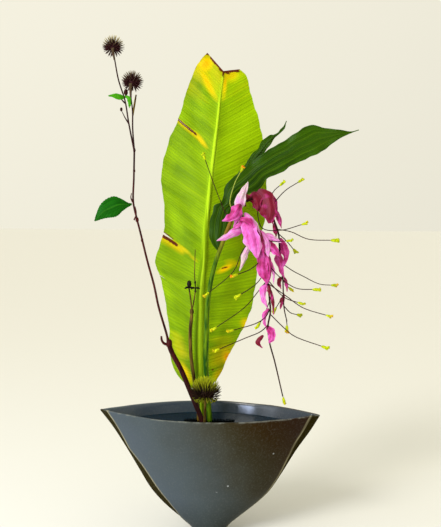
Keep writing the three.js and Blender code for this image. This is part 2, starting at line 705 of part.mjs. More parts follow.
const ORCHID_SPRAY = {
  rachis: [
    [35, -16, 442],
    [41, -24, 434],
    [50, -27, 425],
    [60, -28, 412],
    [68, -28, 387],
    [73, -28, 363],
    [78, -28, 323],
    [79, -28, 307],
    [76, -28, 289],
    [78, -28, 267],
    [85, -28, 241],
    [96, -28, 194],
  ],
  bracts: [
    { spine: [[35, -24, 437], [37, -27, 452], [43, -30, 466], [49, -29, 479]], wide: 13, face: [0.3, 1, 0] },
    { spine: [[39, -29, 450], [35, -34, 444], [28, -35, 434], [15, -34, 428]], wide: 14, face: [0, 1, -0.2] },
    { spine: [[38, -26, 446], [38, -29, 436], [34, -30, 428], [30, -29, 420]], wide: 8 },
    { spine: [[44, -28, 438], [50, -31, 431], [58, -33, 421], [66, -33, 406]], wide: 9, face: [0, 1, 0.4] },
    { spine: [[47, -28, 416], [34, -33, 413], [22, -34, 407], [8, -34, 402]], wide: 12, face: [0, 1, 0.4] },
    { spine: [[44, -30, 426], [36, -34, 420], [28, -34, 416]], wide: 9, face: [0, 1, 0.6] },
    {
      spine: [[43, -31, 430], [49, -36, 418], [56, -39, 400], [61, -37, 380]],
      wide: 21,
      face: [0.1, 1, 0],
      keel: 0.12,
      shape: FULL,
    },
    { spine: [[38, -31, 428], [44, -36, 428], [52, -37, 424], [58, -35, 416]], wide: 11, face: [0, 1, 0.5] },
    { spine: [[56, -31, 424], [63, -35, 410], [68, -36, 396], [70, -34, 380]], wide: 9, face: [-0.3, 1, 0] },
    { spine: [[63, -30, 416], [72, -32, 404], [75, -33, 391], [76, -31, 376]], wide: 11, face: [-0.2, 1, 0] },
    { spine: [[53, -27, 400], [47, -29, 388], [43, -31, 376], [38, -31, 362]], wide: 8 },
    { spine: [[66, -27, 406], [76, -28, 408], [85, -27, 404], [93, -27, 399]], wide: 11, face: [0, 1, -0.5] },
    { spine: [[68, -28, 402], [76, -30, 396], [84, -31, 390], [91, -30, 381]], wide: 13, face: [0, 1, -0.2] },
    {
      spine: [[70, -29, 392], [67, -33, 378], [69, -34, 362], [74, -32, 345]],
      wide: 14,
      face: [0.1, 1, 0],
      keel: 0.15,
      shape: FULL,
    },
    { spine: [[72, -29, 392], [76, -33, 376], [78, -33, 360], [75, -31, 345]], wide: 9, face: [-0.4, 1, 0] },
    { spine: [[80, -28, 374], [83, -29, 360], [83, -28, 344]], wide: 4 },
    { spine: [[75, -28, 346], [68, -31, 336], [69, -33, 326], [75, -32, 313]], wide: 9, face: [0.3, 1, 0] },
    { spine: [[77, -28, 344], [78, -30, 336], [78, -30, 328]], wide: 6, face: [-0.5, 1, 0] },
    { spine: [[80, -27, 336], [83, -28, 320], [83, -27, 303]], wide: 5, face: [-0.6, 1, 0] },
    { spine: [[77, -28, 312], [71, -30, 303], [71, -31, 294], [74, -30, 286]], wide: 5.5 },
    {
      spine: [[75, -28, 288], [80, -30, 281], [81, -31, 273], [77, -30, 266]],
      wide: 10,
      keel: 0.1,
      shape: FULL,
    },
    { spine: [[70, -29, 276], [64, -30, 270], [63, -30, 265], [69, -29, 259]], wide: 6 },
    { spine: [[52, -26, 420], [58, -22, 404], [62, -22, 388]], wide: 14, face: [0, -1, 0] },
    { spine: [[66, -27, 396], [68, -22, 380], [70, -22, 362]], wide: 12, face: [0, -1, 0] },
  ],
  claws: [
    [[42, -20.5, 434], [35.4, -24.8, 441]],
    [[36.3, -25, 447], [37, -32, 447]],
    [[46.5, -23, 429.5], [45, -33, 427]],
    [[71.4, -28, 371], [81.2, -28.4, 369.5]],
    [[77, -28, 279], [68.5, -29.2, 274.5]],
  ],
  stalks: [
    [[37, -21, 439], [22, -24, 436], [12, -22, 456], [-8, -17, 510]],
    [[37, -21, 439], [26, -24, 448], [31, -22, 475], [40, -20, 493]],
    [[64, -28, 404], [85, -32, 401], [101, -34, 402]],
    [[70, -28, 378], [90, -34, 355], [112, -36, 340], [137, -36, 338]],
    [[75, -28, 350], [97, -40, 328], [116, -50, 322]],
    [[76, -28, 345], [99, -40, 330], [120, -50, 316], [151, -60, 307]],
    [[79, -28, 304], [95, -38, 289], [109, -44, 278], [147, -54, 265]],
    [[70, -28, 380], [54, -36, 366], [33, -44, 358]],
    [[62, -28, 408], [44, -27, 392], [30, -25, 361], [-4, -22, 331]],
    [[73, -28, 362], [60, -31, 345], [38, -32, 330]],
    [[75, -28, 350], [64, -27, 336], [46, -26, 314], [6, -24, 285]],
    [[79, -28, 312], [72, -34, 301], [60, -40, 294], [28, -50, 286]],
    [[76, -28, 290], [66, -34, 282], [45, -40, 274], [10, -46, 260]],
    [[78, -28, 322], [70, -25, 300], [64, -24, 290]],
    [[90, -28, 220], [94, -28, 203], [97, -28, 190]],
  ],
};

// Teasel branches and heads

const MAIN_STEM = [
  [-5, -10, STEM_FOOT],
  [-7, -10, 140],
  [-12, -9, 156],
  [-28, -8, 196],
  [-40, -8, 225],
  [-54, -8, 253],
  [-60, -8, 276],
  [-70, -8, 311],
  [-76, -8, 340],
  [-85, -8, 374],
  [-94, -8, 412],
  [-99, -8, 432],
  [-103, -8, 452],
  [-102, -8, 484],
  [-101, -8, 523],
];
const LEFT_FORK = [
  [-101, -8, 518],
  [-108, -8, 555],
  [-113, -8, 586],
  [-121, -9, 612],
  [-126, -10, 640],
];
const RIGHT_FORK = [
  [-101, -8, 518],
  [-103, -8, 548],
  [-103, -9, 572],
  [-105, -10, 590],
];

// Thick below the lowest knot and thin above it.
const MAIN_RADIUS = { thick: 3.4, thin: 1.8, top: 1.2, knee: 0.37, fall: 0.02 };
const MAIN_KNOTS = [
  { place: [-56, -8, 261], radius: 4.8 },
  { place: [-98, -8, 428], radius: 2.6 },
  { place: [-101, -8, 520], radius: 2 },
  { place: [-118, -6, 574], radius: 2 },
  { place: [-112.5, -7, 594], radius: 2.3 },
  { place: [-101.5, -8, 493], radius: 1.9 },
  { place: [-91.6, -8, 401], radius: 2 },
];
const MAIN_STUB = [
  [-57, -8, 260],
  [-63, -10, 262],
  [-66, -11, 267],
  [-66.5, -11, 272],
];
const MAIN_TWIGS = [
  [[-102, -8, 428], [-99, -10, 436], [-100, -11, 446]],
  [[-103, -8, 452], [-106, -10, 458], [-105, -10, 464]],
  [[-108, -8, 555], [-113, -7, 563], [-118, -6, 573]],
  [[-113, -8, 582], [-118, -6, 588], [-119, -5, 594]],
  [[-114, -8, 588], [-112.5, -8, 591], [-112.5, -7, 594]],
];
const FORK_RADIUS = taper(1.3, 1);
const TWIG_RADIUS = taper(1.1, 0.5);

// A short bulge where a leaf or bud once stood.
const KNOT_LENGTH = 1.3;
function knot({ place, radius }) {
  const ball = new THREE.IcosahedronGeometry(radius, 0);
  return solidOf(ball.scale(1, 1, KNOT_LENGTH).translate(...place));
}

function mainStem(extra) {
  const { thick, thin, top, knee, fall } = MAIN_RADIUS;
  const radiusAt = (share) => {
    const below = THREE.MathUtils.clamp((knee - share) / fall, 0, 1);
    return extra + THREE.MathUtils.lerp(THREE.MathUtils.lerp(thin, top, share), thick, below);
  };
  return tube(MAIN_STEM, radiusAt, 6, 22);
}

function mainTeaselSolid() {
  return fuse([
    mainStem(0),
    tube(LEFT_FORK, FORK_RADIUS, 4, 7),
    tube(RIGHT_FORK, FORK_RADIUS, 4, 5),
    tube(MAIN_STUB, taper(2.4, 1.3), 4, 3),
    ...MAIN_KNOTS.map(knot),
    ...MAIN_TWIGS.map((twig) => tube(twig, TWIG_RADIUS, 3, 3)),
  ]);
}

// A small toothed leaf between its lower and upper margins, with its side veins pressed in.
const SIDE_VEIN = 0.6;
function leafSolid({ lower, upper, steps, raised }) {
  return blade({
    table: rowsBetween(lower, upper, steps + 1, raised),
    rows: steps,
    columns: 2,
    lift: (across, along) => SIDE_VEIN * Math.abs(across) * Math.cos(along * steps * Math.PI),
  });
}

const LARGE_LEAF = {
  lower: [
    [-104.4, -9, 448],
    [-111, -12, 445],
    [-117, -15, 440],
    [-124, -17, 434],
    [-139, -19, 431],
    [-153, -20, 427],
  ],
  upper: [
    [-104.4, -9, 450],
    [-110, -12, 451],
    [-117, -15, 455.5],
    [-127, -18, 459.5],
    [-137, -19, 456],
    [-145, -20, 449],
    [-150, -20, 439],
    [-153.4, -20, 427.6],
  ],
  steps: 10,
  raised: 1.5,
};
const SMALL_LEAF = {
  lower: [
    [-115.3, -9, 588],
    [-120.5, -12, 586.3],
    [-127.3, -13, 589],
    [-134, -14, 590.9],
  ],
  upper: [
    [-115.6, -9, 590.5],
    [-118, -12, 593],
    [-123.5, -13, 594],
    [-130, -14, 593],
    [-134.2, -14, 591.3],
  ],
  steps: 6,
  raised: 0.8,
};
const HANGING_LEAF = {
  lower: [
    [-112.8, -10, 588.5],
    [-109.5, -12, 587],
    [-108.5, -13, 582],
    [-106.8, -14, 575.5],
  ],
  upper: [
    [-112.8, -10, 590.5],
    [-107.5, -12, 591],
    [-104.7, -13, 587],
    [-104.6, -13, 581],
    [-106.6, -14, 575.2],
  ],
  steps: 6,
  raised: 0.8,
};

// A spiny head: slim spines spread evenly over a core that they stand out of. `bare` is the way of its
// neck, where no spines grow.
const GOLDEN_ANGLE = Math.PI * (3 - Math.sqrt(5));
const SPINE_DEPTH = 0.7; // a spine's root lies this share of the way out to the core's skin
const SPINE_SPREAD = 0.1; // spines differ in length by up to this share
const NECK_CONE = 0.88; // cosine of the bare cone's half angle
function spinyHead({ centre, core, reach, count, lean, lowest, radius, seed, bare }) {
  const middle = v(...centre);
  const draw = seeded(seed);
  const ball = new THREE.SphereGeometry(1, 8, 5);
  ball.rotateX(Math.PI / 2).scale(...core).translate(...centre);
  const parts = [solidOf(ball)];
  for (let i = 0; i < count; i++) {
    const height = 1 - ((i + 0.5) / count) * (1 - lowest);
    const ring = Math.sqrt(1 - height * height);
    const angle = i * GOLDEN_ANGLE;
    const way = v(ring * Math.cos(angle), ring * Math.sin(angle), height);
    const length = reach * (1 - SPINE_SPREAD * draw());
    if (way.dot(bare) > NECK_CONE) continue;
    const root = middle.clone().add(way.clone().multiply(v(...core)).multiplyScalar(SPINE_DEPTH));
    const tip = way.add(v(0, 0, lean * ring)).normalize().multiplyScalar(length);
    parts.push(spike(root, middle.clone().add(tip), radius));
  }
  return parts;
}

const UPPER_HEAD = { core: [9, 9, 8], reach: 15.6, count: 56, lean: 0.05, lowest: -0.95, radius: 1.5 };
const LEFT_HEAD = { centre: [-127.4, -10, 655.6], stemTop: [-126, -10, 640.4], seed: 3 };
const RIGHT_HEAD = { centre: [-102.6, -10, 610], stemTop: [-105, -10, 590.4], seed: 5 };
const NECK_RADIUS = taper(1.6, 3);

function upperHeadSolid({ centre, stemTop, seed }) {
  const bare = v(...stemTop).sub(v(...centre)).normalize();
  const neck = tube([stemTop, centre], NECK_RADIUS, 5, 2);
  return fuse([...spinyHead({ ...UPPER_HEAD, centre, seed, bare }), neck]);
}

const LOW_HEAD = {
  centre: [-7, -33, 201.5],
  core: [11, 11, 11],
  reach: 22.4,
  count: 56,
  lean: 0.4,
  lowest: -0.7,
  radius: 1.6,
  seed: 11,
  bare: v(0, 0, -1),
};
// A dry bract under the low head curls up again: how far out and how high its places lie.
const CURLED_COUNT = 10;
const CURLED_PLACES = [
  { out: 6, up: -7 },
  { out: 13, up: -13 },
  { out: 18, up: -8 },
];
const CURLED_RADIUS = taper(1.6, 0.5);

function lowHeadSolid() {
  const middle = v(...LOW_HEAD.centre);
  const curled = Array.from({ length: CURLED_COUNT }, (_, i) => {
    const angle = (2 * Math.PI * i) / CURLED_COUNT;
    const places = CURLED_PLACES.map(({ out, up }) => {
      const place = middle.clone().add(v(out * Math.cos(angle), out * Math.sin(angle), up));
      return place.toArray();
    });
    return tube(places, CURLED_RADIUS, 3, 3);
  });
  return fuse([...spinyHead(LOW_HEAD), ...curled]);
}

const LOW_STEM = [
  [-8, -22, STEM_FOOT],
  [-8, -27, 160],
  [-7, -33, 190],
];
const LOW_STEM_RADIUS = { foot: 1.9, top: 1.7 };

function lowStem(extra) {
  const { foot, top } = LOW_STEM_RADIUS;
  return tube(LOW_STEM, taper(foot + extra, top + extra), 6, 6);
}

const SHORT_BRANCH = [
  [-17, 8, STEM_FOOT],
  [-18, 7, 174],
  [-23, 6, 210],
  [-27, 5, 240],
  [-28, 4, 276],
  [-26, 4, 301],
  [-27, 4, 317],
  [-30, 3, 338],
];
const SHORT_TWIG = [
  [-27, 4, 299],
  [-23, 3, 318],
  [-21, 3, 334],
  [-22, 2, 353],
  [-21, 2, 388],
];
const SHORT_RADIUS = { thick: 2.4, thin: 1, knee: 0.8, fall: 0.04 };
const SHORT_KNOTS = [
  { place: [-26, 4, 303], radius: 3.4 },
  { place: [-29.3, 3, 341], radius: 3.6 },
  { place: [-21, 3, 331], radius: 1.7 },
  { place: [-21.2, 3, 343], radius: 1.6 },
];
// Narrow bracts under both buds, one to each side: how far out, forward and up their places lie.
const CALYX_PLACES = [
  [-29.3, 3, 335.5],
  [-21, 3, 335],
];
const CALYX_STEPS = [
  [0, 0, 0],
  [3, -1.5, 1],
  [6, -2, -0.6],
];

function shortStem(extra) {
  const { thick, thin, knee, fall } = SHORT_RADIUS;
  const above = (share) => THREE.MathUtils.clamp((share - knee) / fall, 0, 1);
  return tube(SHORT_BRANCH, (share) => extra + THREE.MathUtils.lerp(thick, thin, above(share)), 5, 12);
}

function calyxBract([x, y, z], side) {
  const places = CALYX_STEPS.map(([out, forward, up]) => [x + out * side, y + forward, z + up]);
  return tube(places, TWIG_RADIUS, 3, 3);
}

function shortBranchSolid() {
  return fuse([
    shortStem(0),
    tube(SHORT_TWIG, TWIG_RADIUS, 4, 8),
    ...SHORT_KNOTS.map(knot),
    ...CALYX_PLACES.flatMap((place) => [-1, 1].map((side) => calyxBract(place, side))),
  ]);
}

// The arrangement

const turned = (solid) => solid.rotate([0, 0, FRONT_TURN]);

// The stems swollen by a little: the plain holes that their feet need.
const sleeves = [shootStem, mainStem, bananaStalk, shortStem, lowStem].map((stem) => turned(stem(CLEAR)));

const part = new THREE.Group();
part.name = "ikebana_arrangement";

part.add(meshOf("vase", vaseSolid(), finish(COLOURS.stoneware, 0.45)));
part.add(meshOf("water", waterSolid(sleeves), finish(COLOURS.water, 0.05)));
part.add(meshOf("kenzan", kenzanSolid(sleeves), finish(COLOURS.lead, 0.5)));

const display = new THREE.Group();
display.rotation.z = THREE.MathUtils.degToRad(FRONT_TURN);
part.add(display);

const show = (name, solid, colour, roughness) => display.add(meshOf(name, solid, finish(colour, roughness)));
const clearOfStem = (spray) => fuse([spraySolid(spray).subtract(sprayRoom())]);

show("banana_leaf", bananaLeafSolid(), COLOURS.bananaGreen, 0.45);
show("ginger_shoot", gingerShootSolid(), COLOURS.shootGreen, 0.4);
show("ginger_spray_wine", clearOfStem(WINE_SPRAY), COLOURS.wine, 0.5);
show("ginger_spray_orchid", clearOfStem(ORCHID_SPRAY), COLOURS.orchid, 0.5);
show("teasel_stem", mainTeaselSolid(), COLOURS.maroon, 0.6);
show("teasel_leaf_large", leafSolid(LARGE_LEAF), COLOURS.leafGreen, 0.5);
show("teasel_leaf_small", leafSolid(SMALL_LEAF), COLOURS.leafGreen, 0.5);
show("teasel_leaf_hanging", leafSolid(HANGING_LEAF), COLOURS.leafGreen, 0.5);
show("teasel_head_left", upperHeadSolid(LEFT_HEAD), COLOURS.headBrown, 0.7);
show("teasel_head_right", upperHeadSolid(RIGHT_HEAD), COLOURS.headBrown, 0.7);
show("teasel_branch_short", shortBranchSolid(), COLOURS.olive, 0.6);
show("low_head", lowHeadSolid(), COLOURS.lowHead, 0.7);
show("low_head_stem", lowStem(0), COLOURS.olive, 0.6);

export default part;
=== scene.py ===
"""Dresses the ikebana arrangement: a stoneware boat vase with water and a pin holder, in which stand a
banana leaf, a ginger shoot with two hanging flower sprays, two teasel branches and a low spiny head.

Places are written in millimetres as seen from the display side, and turned and scaled once, by `placed`.
"""

import logging
import math
import random
from collections.abc import Callable, Sequence
from dataclasses import dataclass
from enum import Enum

import bpy
import numpy as np
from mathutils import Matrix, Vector


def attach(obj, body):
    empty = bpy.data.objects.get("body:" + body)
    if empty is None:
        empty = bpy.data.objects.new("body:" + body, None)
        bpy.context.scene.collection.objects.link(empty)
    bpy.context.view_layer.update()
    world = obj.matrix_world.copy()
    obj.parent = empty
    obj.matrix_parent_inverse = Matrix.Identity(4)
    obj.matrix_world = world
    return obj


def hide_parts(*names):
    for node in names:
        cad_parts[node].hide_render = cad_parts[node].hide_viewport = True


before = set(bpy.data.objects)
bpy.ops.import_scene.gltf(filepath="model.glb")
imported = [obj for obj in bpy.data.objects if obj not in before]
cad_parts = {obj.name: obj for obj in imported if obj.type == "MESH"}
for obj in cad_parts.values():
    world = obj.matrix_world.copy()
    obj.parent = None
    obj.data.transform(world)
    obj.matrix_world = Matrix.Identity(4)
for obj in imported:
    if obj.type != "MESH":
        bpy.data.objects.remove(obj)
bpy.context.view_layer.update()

log = logging.getLogger("ikebana")

MM = 0.001
BODY = "root"
FRONT_TURN = math.radians(6)
STEM_FOOT = 127.1
WATER_LEVEL = 150
GOLDEN = math.pi * (3 - math.sqrt(5))
TINY = 1e-6

Place = tuple[float, float, float]
Colour = tuple[float, float, float, float]
Spot = tuple[tuple[float, float], tuple[float, float], float]
StrongSpot = tuple[tuple[float, float], tuple[float, float], float, float]
Values = np.ndarray
Piece = bpy.types.Object
Socket = bpy.types.NodeSocket
Lift = Callable[[Values, Values], Values]
Marks = Callable[[Values, Values, Values], dict[str, Values]]


class Side(Enum):
    """The halves of a leaf, as seen from the display side."""

    LEFT = -1
    RIGHT = 1


def shade(red: int, green: int, blue: int) -> Colour:
    """A colour given as it looks on a screen, from 0 to 255, as linear light.

    Args:
        red: Share of red.
        green: Share of green.
        blue: Share of blue.

    Returns:
        The colour with full alpha.
    """

    def linear(value: int) -> float:
        """One channel as linear light."""
        part = value / 255
        return part / 12.92 if part <= 0.04045 else ((part + 0.055) / 1.055) ** 2.4

    return (linear(red), linear(green), linear(blue), 1.0)


def turned(points: Values, angle: float) -> Values:
    """Places turned about the upright axis.

    Args:
        points: One place to a row.
        angle: The turn, in radians.

    Returns:
        The turned places.
    """
    cos, sin = math.cos(angle), math.sin(angle)
    result = np.array(points, float)
    result[:, 0] = points[:, 0] * cos - points[:, 1] * sin
    result[:, 1] = points[:, 0] * sin + points[:, 1] * cos
    return result


def placed(points: Values) -> Values:
    """Places of the display side, in millimetres, as places of the part, in metres."""
    return turned(points, FRONT_TURN) * MM


def corners(piece: Piece) -> Values:
    """The vertices of a piece as its mesh holds them.

    Args:
        piece: The object to read.

    Returns:
        One place to a row.
    """
    flat = np.zeros(len(piece.data.vertices) * 3)
    piece.data.vertices.foreach_get("co", flat)
    return flat.reshape(-1, 3)


def read_back(piece: Piece) -> Values:
    """The vertices of a piece as places of the display side, in millimetres."""
    return turned(corners(piece) / MM, -FRONT_TURN)


def deselect() -> None:
    """Leaves nothing selected, so that an operator acts only on what is chosen next."""
    bpy.ops.object.select_all(action="DESELECT")


def choose(*pieces: Piece) -> None:
    """Selects the pieces and makes the first one active.

    Args:
        pieces: The objects that the next operator acts on.
    """
    deselect()
    for piece in pieces:
        piece.select_set(True)
    bpy.context.view_layer.objects.active = pieces[0]


def joined(name: str, pieces: Sequence[Piece]) -> Piece:
    """Joins pieces into the first one.

    Args:
        name: Name of the joined piece.
        pieces: The objects to join.

    Returns:
        The joined piece.
    """
    choose(*pieces)
    if len(pieces) > 1:
        bpy.ops.object.join()
    piece = bpy.context.view_layer.objects.active
    piece.name = name
    piece.data.name = name
    return piece


def smooth(piece: Piece, degrees: float = 60) -> None:
    """Shades a piece smooth up to an angle.

    Args:
        piece: The object to shade.
        degrees: Angle above which an edge stays sharp.
    """
    choose(piece)
    bpy.ops.object.shade_smooth_by_angle(angle=math.radians(degrees))


def outward(piece: Piece) -> None:
    """Turns all faces of a closed piece outwards, after its doubles are merged.

    Args:
        piece: The object to mend.
    """
    choose(piece)
    bpy.ops.object.mode_set(mode="EDIT")
    bpy.ops.mesh.select_all(action="SELECT")
    bpy.ops.mesh.remove_doubles(threshold=TINY)
    bpy.ops.mesh.normals_make_consistent(inside=False)
    bpy.ops.object.mode_set(mode="OBJECT")


def new_grid(name: str, across: int, along: int) -> Piece:
    """A flat grid from -0.5 to 0.5, with a UV map that keeps across and along.

    Args:
        name: Name of the new object.
        across: Faces along its X.
        along: Faces along its Y.

    Returns:
        The grid.
    """
    deselect()
    bpy.ops.mesh.primitive_grid_add(x_subdivisions=across, y_subdivisions=along, size=1)
    grid = bpy.context.view_layer.objects.active
    grid.name = name
    grid.data.name = name
    return grid


def new_ball(segments: int, rings: int) -> tuple[Piece, Values]:
    """A ball of radius 1.

    Args:
        segments: Faces round it.
        rings: Faces from pole to pole.

    Returns:
        The ball, and its vertices as ways from its middle.
    """
    deselect()
    bpy.ops.mesh.primitive_uv_sphere_add(segments=segments, ring_count=rings, radius=1)
    ball = bpy.context.view_layer.objects.active
    return ball, corners(ball)


def grid_places(grid: Piece) -> tuple[Values, Values]:
    """Where each vertex of a new grid lies, across and along, from 0 to 1 each way."""
    points = corners(grid)
    return points[:, 0] + 0.5, points[:, 1] + 0.5


def put(piece: Piece, points: Values) -> None:
    """Moves the vertices of a piece to places in metres."""
    piece.data.vertices.foreach_set("co", points.astype(np.float32).reshape(-1))
    piece.data.update()


def paint(piece: Piece, name: str, values: Values) -> None:
    """Stores one number for each vertex, for a finish to read."""
    layer = piece.data.attributes.get(name) or piece.data.attributes.new(name, "FLOAT", "POINT")
    layer.data.foreach_set("value", np.asarray(values, np.float32))


def paint_all(piece: Piece, name: str, value: float) -> None:
    """Stores the same number for every vertex."""
    paint(piece, name, np.full(len(piece.data.vertices), value))


def rise(values: Values, start: float, reach: float) -> Values:
    """A share that is 0 up to a start and rises to 1 over a reach, or falls if the reach is negative."""
    return np.clip((values - start) / reach, 0, 1)


def spot(points: Values, place: tuple[float, float], reach: tuple[float, float], tilt: float = 0) -> Values:
    """A soft oval spot on the display side: 1 at its middle and 0 past its reach.

    Args:
        points: Places of the display side, in millimetres.
        place: Middle of the spot, across and up.
        reach: Half sizes, across and up, before the tilt.
        tilt: Turn of the spot, in degrees.

    Returns:
        The spot's strength at each place.
    """
    angle = math.radians(tilt)
    x, z = points[:, 0] - place[0], points[:, 2] - place[1]
    u = (x * math.cos(angle) + z * math.sin(angle)) / reach[0]
    w = (-x * math.sin(angle) + z * math.cos(angle)) / reach[1]
    return np.clip(1.25 - np.sqrt(u * u + w * w), 0, 1)


def monotone(x: Values, y: Values, at: Values) -> Values:
    """Values on a smooth curve through points that never swings past them.

    Args:
        x: Where the points lie, rising.
        y: Their values.
        at: Where values are wanted.

    Returns:
        One value for each place in `at`.
    """
    step = np.diff(x)
    slope = np.diff(y) / step
    product = slope[:-1] * slope[1:]
    middle = np.where(product > 0, 2 * product / (slope[:-1] + slope[1:] + 1e-12), 0)
    slopes = np.concatenate([[slope[0]], middle, [slope[-1]]])
    place = np.clip(at, x[0], x[-1])
    i = np.clip(np.searchsorted(x, place, side="right") - 1, 0, len(x) - 2)
    t = (place - x[i]) / step[i]
    start = y[i] * (1 + 2 * t) * (1 - t) ** 2 + slopes[i] * step[i] * t * (1 - t) ** 2
    end = y[i + 1] * t**2 * (3 - 2 * t) + slopes[i + 1] * step[i] * t**2 * (t - 1)
    return start + end


class Route:
    """A smooth centripetal curve through places, as the part's own curves are."""

    def __init__(self, places: Sequence[Place]) -> None:
        """Keeps the places, with one more before the first and after the last.

        Args:
            places: Where the curve passes, in order.
        """
        inner = np.array(places, float)
        before = 2 * inner[0] - inner[1]
        after = 2 * inner[-1] - inner[-2]
        self.places = np.vstack([before, inner, after])
        self.count = len(inner)

    def at(self, share: Values | float) -> Values:
        """Places along the curve.

        Args:
            share: From 0 at the first place to 1 at the last, even between the places.

        Returns:
            One place to a row.
        """
        span = np.clip(np.atleast_1d(share), 0, 1) * (self.count - 1)
        start = np.minimum(span.astype(int), self.count - 2)
        weight = (span - start)[:, None]
        p = [self.places[start + i] for i in range(4)]
        steps = [np.linalg.norm(p[i + 1] - p[i], axis=1, keepdims=True) for i in range(3)]
        gap = [np.maximum(step**0.5, 1e-4) for step in steps]
        head = (p[1] - p[0]) / gap[0] - (p[2] - p[0]) / (gap[0] + gap[1]) + (p[2] - p[1]) / gap[1]
        tail = (p[2] - p[1]) / gap[1] - (p[3] - p[1]) / (gap[1] + gap[2]) + (p[3] - p[2]) / gap[2]
        head, tail = head * gap[1], tail * gap[1]
        square = -3 * p[1] + 3 * p[2] - 2 * head - tail
        cube = 2 * p[1] - 2 * p[2] + head + tail
        return p[1] + head * weight + square * weight**2 + cube * weight**3

    def even(self, steps: int) -> Values:
        """Places spaced evenly along the curve's length.

        Args:
            steps: Number of stretches.

        Returns:
            One place to a row, from first to last.
        """
        fine = self.at(np.linspace(0, 1, 40 * self.count))
        run = np.concatenate([[0], np.cumsum(np.linalg.norm(np.diff(fine, axis=0), axis=1))])
        wanted = np.linspace(0, run[-1], steps + 1)
        return np.column_stack([np.interp(wanted, run, fine[:, i]) for i in range(3)])


@dataclass
class Stem:
    """A round stem along a route, with a radius that follows its length."""

    name: str
    places: Sequence[Place]
    radius: Callable[[Values], Values]
    steps: int = 60
    sides: int = 12

    def build(self) -> Piece:
        """Sweeps a circle along the route and closes both ends.

        Returns:
            The stem as a mesh in the part's frame.
        """
        path = placed(Route(self.places).even(self.steps))
        radii = self.radius(np.linspace(0, 1, self.steps + 1)) * MM
        curve = bpy.data.curves.new(self.name, "CURVE")
        curve.dimensions = "3D"
        curve.bevel_depth = 1
        curve.bevel_resolution = max(self.sides // 4 - 1, 0)
        curve.use_fill_caps = True
        spline = curve.splines.new("POLY")
        spline.points.add(self.steps)
        for point, place, radius in zip(spline.points, path, radii):
            point.co = (*place, 1)
            point.radius = radius
        piece = bpy.data.objects.new(self.name, curve)
        bpy.context.scene.collection.objects.link(piece)
        choose(piece)
        bpy.ops.object.convert(target="MESH")
        outward(piece)
        smooth(piece)
        return piece


def taper(foot: float, top: float) -> Callable[[Values], Values]:
    """A radius that changes evenly from foot to top, as a function of the share along the stem."""
    return lambda share: foot + (top - foot) * share


def between(low: Sequence[Place], high: Sequence[Place], count: int, raised: float) -> tuple[tuple, ...]:
    """Rows of a leaf that lies between two margins, with its rib midway and raised towards the display side.

    Args:
        low: Places along the left or lower margin, from foot to tip.
        high: Places along the other margin.
        count: Number of rows.
        raised: How far the rib stands in front of the margins, in millimetres.

    Returns:
        Rib, left and right place of each row.
    """
    left, right = Route(low).even(count - 1), Route(high).even(count - 1)
    swell = np.sin(np.linspace(0, np.pi, count)) * raised
    rib = (left + right) / 2
    rib[:, 1] -= swell
    return tuple((tuple(r), tuple(a), tuple(b)) for r, a, b in zip(rib, left, right))


@dataclass(frozen=True)
class Tear:
    """A split from the edge of a leaf towards its rib, along its veins."""

    side: Side
    at: float
    reach_in: float
    gap: float


